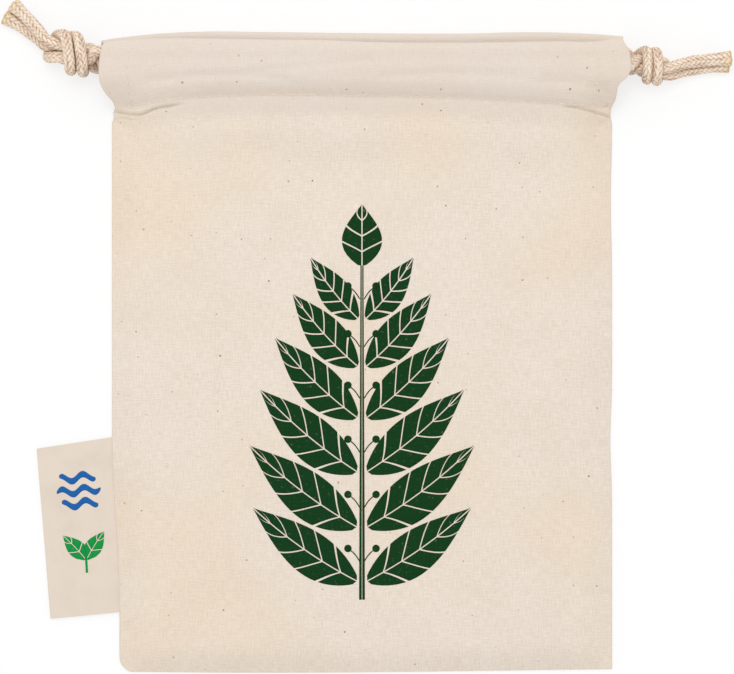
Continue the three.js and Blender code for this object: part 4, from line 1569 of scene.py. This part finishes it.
    def _back(self) -> None:
        """The back layer: panel flat on the surface, casing folded up over it and facing."""
        local = self._casing_profile(SIZES.back_fold)[::-1]
        t = np.linspace(0, 1, self.back_rows)[:, None]
        body_y = mix(self.shape.fold_y(self.nominal) + SIZES.fold_middle, local[0, 0], t)[:-1]
        casing_y = np.broadcast_to(local[:, :1], (len(local), len(self.u)))
        plain_y = np.concatenate([body_y, casing_y])
        y = self._lined(plain_y, SIZES.back_fold, Layer.BACK)
        x, cut = self._across(y, Layer.BACK, len(body_y) + self.turn_rows - 1)
        casing_z = np.broadcast_to(local[:, 1:], casing_y.shape)
        z = np.concatenate([np.full(body_y.shape, SIZES.cloth / 2), casing_z]) + self.lean * np.abs(x)
        self._keep(Layer.BACK, np.stack([x, y, z], axis=-1), plain_y, cut, self.seam_gap)

    @property
    def panel_rows(self) -> slice:
        """The rows of the front layer from the bottom fold to the stitched row."""
        return slice(self.fold_rows, self.fold_rows + self.body_rows)

    @property
    def casing_rows(self) -> slice:
        """The rows of the front layer from just below the stitched row to the front casing's fold."""
        start = self.fold_rows + self.body_rows
        casing = len(self._casing_profile(SIZES.front_fold))
        return slice(start - self.rows_below, start + casing - self.turn_rows)

    def build(self, seams: dict[Side, list[Object]]) -> None:
        """Makes both layers and their hems, in left and right halves.

        Args:
            seams: The pieces of each side seam; listed with the back's hem on that side, but not used
                further.
        """
        for layer in Layer:
            for side in Side:
                inner = [SlitHem(self, layer, side).build()]
                inner += seams[side] if layer is Layer.BACK else []
                columns = slice(0, self.middle + 1) if side is Side.LEFT else slice(self.middle, None)
                half = self.grids[layer].part(columns)
                made = half.mesh(f"{layer.value}_cloth_{side.word}", self.finish)
                # the value double: greyer doubled casings, and painted shade in a band under the
                # stitched row
                set_value(made, "double", np.tile(self._double_and_shade(half), 2))
                gather(made, side)
                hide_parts(f"{layer.value}_panel", f"{layer.value}_casing")
                LOG.info("%s: %d faces", made.name, len(made.data.polygons))

    def _double_and_shade(self, half: ClothGrid) -> Array:
        """1 on the casings and, as painted shade, on a band of the panel under the stitched row; 0
        further down, at every grid point.
        """
        return smooth((half.points[..., 1] - self.double_shade_from) / self.double_shade_reach).ravel()


@dataclass
class SlitHem:
    """The cloth turned in at one end of a casing, lying against the inside of its outer layer."""

    cloth: BagCloth
    layer: Layer
    side: Side
    depth: float = 12.5
    thickness: float = 0.4
    between: float = 0.75
    foot: float = 104.9
    margin: float = 0.7

    def grid(self) -> ClothGrid:
        """The outer layer's grid moved inwards along its normals, its rolled edge turned to meet it."""
        front = self.layer is Layer.FRONT
        whole, plain = self.cloth.grids[self.layer], self.cloth.unrolled[self.layer]
        top = (SIZES.front_fold if front else SIZES.back_fold) - SIZES.casing_height / 2 - self.margin
        height = plain[:, self.cloth.middle, 1]
        inside = np.flatnonzero((height > self.foot) & (height < top))
        first = inside[0]
        last = first + int(np.argmax(np.diff(np.append(inside, inside[-1] + 2)) > 1))
        count = self.cloth.roll_steps + round(self.depth * self.cloth.half_columns / SIZES.casing_end)
        columns = slice(0, count) if self.side is Side.LEFT else slice(-count, None)
        rows = slice(first, last + 1)
        inwards = grid_normals(plain)[rows, columns] * (-1 if front else 1)
        points = plain[rows, columns] + inwards * self.between
        points[..., 2] += plain[rows, columns, 2] - whole.points[rows, columns, 2]
        return ClothGrid(points, whole.flat[rows, columns], self.thickness)

    def build(self) -> Object:
        """Makes the hem."""
        made = self.grid().mesh(f"{self.side.word}_{self.layer.value}_hem_cloth", self.cloth.finish)
        gather(made, self.side)
        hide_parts(f"{self.side.word}_{self.layer.value}_slit_hem")
        LOG.info("%s: %d faces", made.name, len(made.data.polygons))
        return made


@dataclass
class SideSeam:
    """The two allowances of a side seam, overlocked together inside the bag."""

    shape: BagShape
    side: Side
    finish: Material
    thread: Material
    allowance: float = 7.0
    inset: float = 1.6
    middle_z: float = 1.05
    straight_to: float = 88.0
    loop_pitch: float = 2.4

    def grid(self) -> ClothGrid:
        """A strip along the side, in from the edge by the inset, its inner edge a little wavy."""
        y = np.linspace(SIZES.bottom + SIZES.corner_radius, SIZES.slit_bottom - 0.6, 150)[:, None]
        share = np.linspace(0, 1, 9)[None]
        edge = self.shape.body_edge(np.minimum(y, self.straight_to), self.side)
        wide = self.allowance + 0.25 * np.sin(y / 9)
        x = edge - self.side.value * (self.inset + wide * share)
        z = self.middle_z + 0.08 * share * np.sin(y / 6.5 + 1)
        points = np.stack([x, y + 0 * x, z + 0 * x], axis=-1)
        if self.side is Side.RIGHT:
            points = points[:, ::-1]
        flat = np.stack([np.broadcast_to(wide * share, x.shape), y + 0 * x], axis=-1)
        return ClothGrid(points, flat)

    def build(self) -> list[Object]:
        """Makes the strip and its overlock loops."""
        grid = self.grid()
        made = grid.mesh(f"{self.side.word}_seam_allowance", self.finish)
        gather(made, self.side)
        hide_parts(f"{self.side.word}_side_seam")
        y = np.arange(SIZES.bottom + 8, SIZES.slit_bottom - 2, self.loop_pitch)
        inner = grid.points[:, -1 if self.side is Side.LEFT else 0]
        x = np.interp(y, inner[:, 1], inner[:, 0]) + self.side.value * 1.2
        along = np.tile([[1.0, 0.45, 0.0], [1.0, -0.45, 0.0]], (len(y), 1))[: len(y)]
        centres = np.stack([x, y, np.full(len(y), self.middle_z + 0.33)], axis=1)
        upright = np.tile([0.0, 0.0, 1.0], (len(y), 1))
        points, faces = Stitch(length=2.6, radius=0.16).rows(centres, along, upright)
        loops = link_mesh(f"{self.side.word}_seam_overlock", points, faces, self.thread)
        gather(loops, self.side)
        LOG.info("%s: %d loops", loops.name, len(y))
        return [made, loops]


@dataclass(frozen=True)
class Stitch:
    """One stitch of a sewing thread: a short thread whose ends dive into the cloth."""

    length: float = 2.3
    radius: float = 0.2
    dive: float = 0.3
    proud: float = 0.12
    sides: int = 6

    def rows(self, centres: Array, along: Array, upright: Array) -> tuple[Array, Faces]:
        """Many stitches as one mesh.

        With s from -1 to 1 along a stitch, its radius is the full one times the root of 1 - s to the
        fourth, and its middle sinks by dive times s to the fourth.

        Args:
            centres: The stitches' middles on the cloth, n by 3.
            along: Their directions, n by 3.
            upright: The cloth's normals there, n by 3.

        Returns:
            Vertices and faces.
        """
        along = along / np.linalg.norm(along, axis=1, keepdims=True)
        s = np.array([-0.96, -0.55, 0.0, 0.55, 0.96])
        wide = self.radius * np.sqrt(1 - s**4)
        high = self.proud - (self.dive + self.proud) * s**4
        middle, ahead, up = centres[:, None], along[:, None] * self.length / 2, upright[:, None]
        spine = middle + ahead * s[:, None] + up * high[:, None]
        spokes = spokes_round(np.cross(along, upright), upright, self.sides)
        rings = spine[:, :, None] + spokes[:, None] * wide[:, None, None]
        poles = middle + ahead * np.array([[-1], [1]]) - up * self.dive
        vertices = np.concatenate([rings.reshape(len(centres), -1, 3), poles], axis=1)
        one = [face[::-1] for face in tube_faces(len(s), self.sides)]
        return vertices.reshape(-1, 3), copied(one, vertices.shape[1], len(centres))


@dataclass
class Sewing:
    """The threads that show: both rows under the casings, the slit hems' rows and the bar tack."""

    cloth: BagCloth
    finish: Material
    pitch: float = 2.6
    back_z: float = 0.36
    hem_inset: float = 11.4
    hem_reach: tuple[float, float] = (100.2, 119.5)
    hem_mean: float = 104.0
    hem_follows: float = 0.25
    tack_start: tuple[float, float] = (97.6, 96.9)
    tack_pitch: float = 0.42
    tacks: int = 7

    def row(self, x: Array, y: Array, layer: Layer) -> tuple[Array, Array, Array]:
        """Middles, directions and outward normals of stitches at (x, y) on one layer's outside.

        Args:
            x: Places along the mouth, in order along the row.
            y: Places up the bag.
            layer: The layer that they are sewn into.

        Returns:
            Three arrays, each n by 3.
        """
        if layer is Layer.FRONT:
            points, normals, _ = self.cloth.grids[layer].over(x, y, self.cloth.casing_rows)
            centres = points + normals * SIZES.cloth / 2
        else:
            normals = np.tile([0.0, 0.0, -1.0], (len(x), 1))
            centres = np.stack([x, y, np.full(len(x), self.back_z)], axis=1)
        return centres, np.gradient(centres, axis=0), normals

    def hem_row(self, layer: Layer, side: Side) -> tuple[Array, Array, Array]:
        """The row that holds one slit hem, parallel to the casing's end."""
        y = np.arange(*self.hem_reach, self.pitch)
        shape, mean = self.cloth.shape, side.value * self.hem_mean
        x = mix(shape.edge(y, side), mean, 1 - self.hem_follows) - side.value * self.hem_inset
        if layer is Layer.FRONT:
            y = y + shape.row_shift(x) * bump((y - SIZES.stitch_line) / 9)
        return self.row(x, y, layer)

    def bar_tack(self) -> tuple[Array, Array, Array]:
        """A few threads side by side across the bottom of the right slit."""
        x, y = self.tack_start
        rows = y + np.arange(self.tacks) * self.tack_pitch
        centres, _, normals = self.row(np.full(self.tacks, x), rows, Layer.FRONT)
        return centres, np.tile([1.0, 0.12, 0.0], (self.tacks, 1)), normals

    def build(self) -> None:
        """Makes all the threads of each half of the bag one piece."""
        stitch = Stitch()
        for side in Side:
            x = side.value * np.arange(self.pitch / 2, SIZES.side - 4.5, self.pitch)
            parts = [
                stitch.rows(*self.row(x, self.cloth.shape.row_y(x), Layer.FRONT)),
                stitch.rows(*self.row(x, np.full(len(x), SIZES.stitch_line), Layer.BACK)),
                stitch.rows(*self.hem_row(Layer.FRONT, side)),
                stitch.rows(*self.hem_row(Layer.BACK, side)),
            ]
            if side is Side.RIGHT:
                parts.append(Stitch(length=2.8, radius=0.24, dive=0.2).rows(*self.bar_tack()))
            vertices, faces = together(parts)
            made = link_mesh(f"sewing_{side.word}", vertices, faces, self.finish)
            gather(made, side)
            LOG.info("%s: %d faces", made.name, len(faces))


# Print


@dataclass(frozen=True)
class Leaf:
    """A printed leaf: where it starts, which way and how far it goes, its width and its bend."""

    base: tuple[float, float]
    angle: float
    length: float
    width: float
    bend: float = 0.1
    veins: int = 5
    bare: float = 0.35

    def fields(self) -> list[Array]:
        """The inked fields between the bare midrib and the bare veins.

        With s from 0 at the stalk to 1 at the tip, half the width is width / 2 times the sine of pi
        times s to the power 0.8, and the middle line bends sideways by bend times s squared. A vein
        leaves the midrib at some s and slants 0.16 further along by the time it reaches the margin.

        Returns:
            A grid of (x, y) for each field, about a millimetre between its points.
        """
        turn = math.radians(self.angle)
        ahead = np.array([math.cos(turn), math.sin(turn)])
        left = np.array([-math.sin(turn), math.cos(turn)])
        cuts = np.linspace(0, 1, self.veins + 1)
        grids = []
        for side in (1.0, -1.0):
            for low, high in zip(cuts[:-1], cuts[1:]):
                steps = max(4, round((high - low) * self.length))
                gap = self.bare / self.length
                low, high = low + (gap if low > 0 else 0.02), high - (gap if high < 1 else 0.012)
                s = np.linspace(low, high, steps)[:, None]
                across = np.linspace(0, 1, max(3, round(self.width / 2) + 1))[None]
                room = np.minimum(s, 1 - s) * 0.8
                s = s + across * np.minimum(0.16, room)
                half = self.width / 2 * np.sin(math.pi * clamp(s) ** 0.8)
                margin = np.maximum(half, self.bare * 1.2)
                v = side * mix(self.bare * 0.7, margin, across)
                along = s * self.length
                aside = v + self.bend * self.length * s**2
                grid = np.array(self.base) + along[..., None] * ahead + aside[..., None] * left
                grids.append(grid if side < 0 else grid[:, ::-1])
        return grids


@dataclass(frozen=True)
class Berry:
    """A printed berry on a thin stalk."""

    base: tuple[float, float]
    tip: tuple[float, float]
    radius: float = 1.5

    def fields(self) -> list[Array]:
        """The berry, a square grid pressed into a disc, and its stalk, a thin bent strip."""
        a, b = np.meshgrid(np.linspace(-1, 1, 7), np.linspace(-1, 1, 7))
        disc = np.stack([a * np.sqrt(1 - b**2 / 2), b * np.sqrt(1 - a**2 / 2)], axis=-1)
        disc = disc * self.radius + self.tip
        base, tip = np.array(self.base), np.array(self.tip)
        t = np.linspace(0, 1 - 0.9 * self.radius / np.linalg.norm(tip - base), 9)[:, None, None]
        across = np.linspace(-0.22, 0.22, 3)[None, :, None]
        ahead = (tip - base) / np.linalg.norm(tip - base)
        left = np.array([-ahead[1], ahead[0]])
        strip = base + t * (tip - base) + (across + 0.5 * np.sin(math.pi * t)) * left
        return [disc, strip[:, ::-1]]


@dataclass
class SprigPrint:
    """A leafy sprig printed on the front: pairs of leaves and berries up a stem, both sides alike."""

    cloth: BagCloth
    finish: Material
    bottom: float = -99.0
    top: float = 34.0
    lift: float = 0.035
    ink: float = 0.04
    leaves: tuple[tuple[float, ...], ...] = (
        (-92.0, 27.0, 51.0, 17.5), (-70.5, 29.0, 54.0, 18.5), (-48.5, 32.0, 51.0, 18.0),
        (-27.0, 36.0, 46.0, 16.5), (-6.5, 40.0, 39.0, 15.0), (12.5, 44.0, 31.0, 12.5),
    )
    berry_foot: float = 8.2
    berry_tip: tuple[float, float] = (5.6, 13.4)

    def fields(self) -> list[Array]:
        """All the inked fields of the right half."""
        grids = []
        for height, angle, length, width in self.leaves:
            grids += Leaf((1.2, height), angle, length, width, bend=0.14, veins=6).fields()
            out, tip = self.berry_tip
            grids += Berry((0.9, height + self.berry_foot), (out, height + tip)).fields()
        half = Leaf((0.0, self.top - 0.6), 90.0, 25.0, 16.0, bend=0.0, veins=4).fields()
        grids += [grid for grid in half if grid[..., 0].mean() > 0]
        t = np.linspace(0, 1, 120)[:, None]
        x = mix(0.12, 1.15 - 0.55 * t, np.linspace(0, 1, 3)[None])
        grids.append(np.stack([x, mix(self.bottom, self.top, t) + 0 * x], axis=-1))
        return grids

    def build(self) -> None:
        """Lays both halves of the print on the cloth as films of ink."""
        for side in Side:
            grids = self.fields()
            if side is Side.LEFT:
                grids = [(grid * [-1, 1])[:, ::-1] for grid in grids]
            front, rows = self.cloth.grids[Layer.FRONT], self.cloth.panel_rows
            made = front.film(f"sprig_print_{side.word}", grids, rows, self.lift, self.ink, self.finish)
            gather(made, side)


# Side label


@dataclass
class SideLabel:
    """A tape folded double, its two ends caught in the left side seam, its fold away from the bag."""

    shape: BagShape
    effects: Effects
    finish: Material
    top: tuple[float, float] = (-129.9, -39.0)
    bottom: tuple[float, float] = (-124.4, -107.0)
    ply: float = 0.3
    under: float = 0.2
    clear: float = 0.25
    half_columns: int = 36
    ink: float = 0.03
    blue: Colour = linear(24, 98, 172)
    green: Colour = linear(12, 150, 66)
    bare: Colour = linear(236, 226, 214)
    waves_middle: tuple[float, float] = (-113.2, -55.8)
    sprout_middle: tuple[float, float] = (-110.6, -79.6)
    lean: float = 6.0

    def grid(self) -> ClothGrid:
        """The tape from its lower end round its fold to its upper end, as one layer.

        x and y go straight from the seam to the outer edge; z is the lower ply's, half a circle round
        the fold, and the upper ply's, with low waves that grow towards the fold.
        """
        t = np.linspace(0, 1, 90)[:, None]
        y_root = mix(SIZES.label_bottom, SIZES.label_top, t)
        root = np.stack([self.shape.edge(y_root, Side.LEFT) - self.clear, y_root], axis=-1)
        outer = np.array(self.bottom) * (1 - t[..., None]) + np.array(self.top) * t[..., None]
        radius, half = self.ply, self.half_columns
        angle = np.linspace(0, math.pi, 9)[1:-1]
        share = np.concatenate([np.linspace(0, 1, half), np.ones(len(angle)), np.linspace(1, 0, half)])
        round_x = np.concatenate([np.zeros(half), np.sin(angle), np.zeros(half)])
        round_z = np.concatenate([np.zeros(half), (1 - np.cos(angle)) / 2, np.ones(half)])
        plan = root + (outer - root) * share[None, :, None]
        plan[..., 0] += radius - radius * round_x
        wave = 0.16 * np.sin(2 * math.pi * t * 1.6 + 0.5) * share
        wave = wave + 0.22 * share**3 * smooth((t - 0.6) / 0.4)
        upper = round_z * (0.10 * np.sin(math.pi * share) * (1 + 0.5 * np.sin(9 * t)))
        lifted = np.maximum(wave + 0.16 * share, 0) + upper
        z = self.under + self.ply / 2 + 2 * radius * round_z + lifted
        points = np.concatenate([plan, z[..., None] + 0 * plan[..., :1]], axis=-1)
        length = lengths_along(points[len(points) // 2])
        tall = (SIZES.label_top - SIZES.label_bottom) * t
        flat = np.stack([length[None] + 0 * z, tall + 0 * z], axis=-1)
        return ClothGrid(points, flat, self.ply)

    def marks(self) -> tuple[list[Array], list[Array]]:
        """Plain marks on the upper ply: three blue waves, and a green pair of leaves on a stalk."""
        waves = []
        for k, reach in enumerate((7.2, 8.8, 7.2)):
            x = np.linspace(-reach, reach, 45)[:, None]
            tapered = np.sqrt(np.maximum(1 - (x / (reach * 1.02)) ** 6, 0.02))
            thick = np.linspace(-1.3, 1.3, 4)[None] * tapered
            y = 5.2 * (1 - k) + 1.2 * np.sin(2 * math.pi * x / 8.8) + thick
            waves.append(self._turned(np.stack([x + 0 * y, y], axis=-1)[:, ::-1], self.waves_middle))
        sprout = []
        for angle in (58.0, 122.0):
            bend = 0.1 if angle > 90 else -0.1
            sprout += Leaf((0.0, -4.0), angle, 13.5, 7.0, bend=bend, veins=3, bare=0.22).fields()
        stalk_y = np.linspace(-9.0, -3.0, 8)[:, None]
        stalk_x = np.linspace(-0.45, 0.45, 3)[None] + 0.05 * (stalk_y + 4)
        sprout.append(np.stack([stalk_x, stalk_y + 0 * stalk_x], axis=-1))
        return waves, [self._turned(grid, self.sprout_middle) for grid in sprout]

    def _turned(self, grid: Array, middle: tuple[float, float]) -> Array:
        """A mark leaned with the label and moved to its place."""
        turn = math.radians(self.lean)
        cosine, sine = math.cos(turn), math.sin(turn)
        return grid @ np.array([[cosine, sine], [-sine, cosine]]) + middle

    def build(self) -> None:
        """Makes the tape and the marks on its face."""
        grid = self.grid()
        made = grid.mesh("label_tape", self.finish)
        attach(made, "label")
        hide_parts("side_label")
        face = grid.part(slice(-self.half_columns, None))
        names, inks = ("label_waves", "label_sprout"), (self.blue, self.green)
        for name, grids, ink in zip(names, self.marks(), inks):
            finish = InkFinish(self.effects, ink, self.bare, TapeFinish.pitch).material(name)
            mark = face.film(name, grids, slice(None), self.ink, self.ink, finish)
            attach(mark, "label")


GATHER_START = np.array([0.0, 119.0, 0.0])
GATHER_REACH = np.array([83.8, 44.6, 0.0])


def gather(made: Object, side: Side) -> None:
    """Bakes a piece's placement into its mesh; where its mouth end's gathering would start and end is
    worked out but not used.
    """
    end = GATHER_START + GATHER_REACH * [side.value, 1, 1]
    start, end = (tuple((point * METRES).tolist()) for point in (GATHER_START, end))
    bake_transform(made)


def main() -> None:
    """Builds the studio and every piece of the bag, in order."""
    logging.basicConfig(level=logging.INFO, format="%(name)s: %(message)s")
    bpy.context.scene.view_settings.view_transform = "Standard"
    studio = Studio()
    studio.camera()
    effects = Effects()
    cord = CordFinish(effects).material()
    left_knot = Knot(
        out=1.98, up=0.59, spacing=1.0, across=1.0, rise=8.0, lean=0.25, roll=0.0, sit=1.5, ease=0.6
    )
    right_knot = Knot(
        out=2.3, up=-0.65, spacing=0.78, across=-1.0, rise=-8.0,
        lean=-0.15, roll=12.0, sit=1.6, ease=-1.0,
    )
    Drawcord(
        Side.LEFT, SIZES.upper_run, SIZES.lower_run, left_knot,
        [[2.15, 1.08, 2.3], [3, 2.02, 1.88], [3.85, 2.96, 1.45], [4.75, 3.85, 1.05], [5.3, 4.35, 0.85]],
        [[2.2, 0.6, 1.2], [3.2, 1.4, 0.85], [4.3, 2.25, 0.62], [5.4, 2.95, 0.54], [6.1, 3.35, 0.52]],
        cord,
    ).build()
    Drawcord(
        Side.RIGHT, SIZES.lower_run, SIZES.upper_run, right_knot,
        [[1.75, -0.2, 2.2], [3, 0.18, 1.9], [4.4, 0.42, 1.58], [6, 0.58, 1.47], [7.25, 0.66, 1.47]],
        [[1.75, -0.85, 1.3], [3, -0.5, 0.88], [4.4, -0.2, 0.6], [6, 0.02, 0.53], [7.1, 0.12, 0.53]],
        cord, knot_radius=2.15,
    ).build()
    shape = BagShape()
    cotton = ClothFinish(effects).material()
    thread = ThreadFinish(effects).material()
    cloth = BagCloth(shape, cotton)
    cloth.build({side: SideSeam(shape, side, cotton, thread).build() for side in Side})
    Sewing(cloth, thread).build()
    SprigPrint(cloth, InkFinish(effects, linear(2, 56, 20)).material("green_ink")).build()
    SideLabel(shape, effects, TapeFinish(effects).material()).build()
    studio.floor()
    studio.lights()


if __name__ == "__main__":
    main()
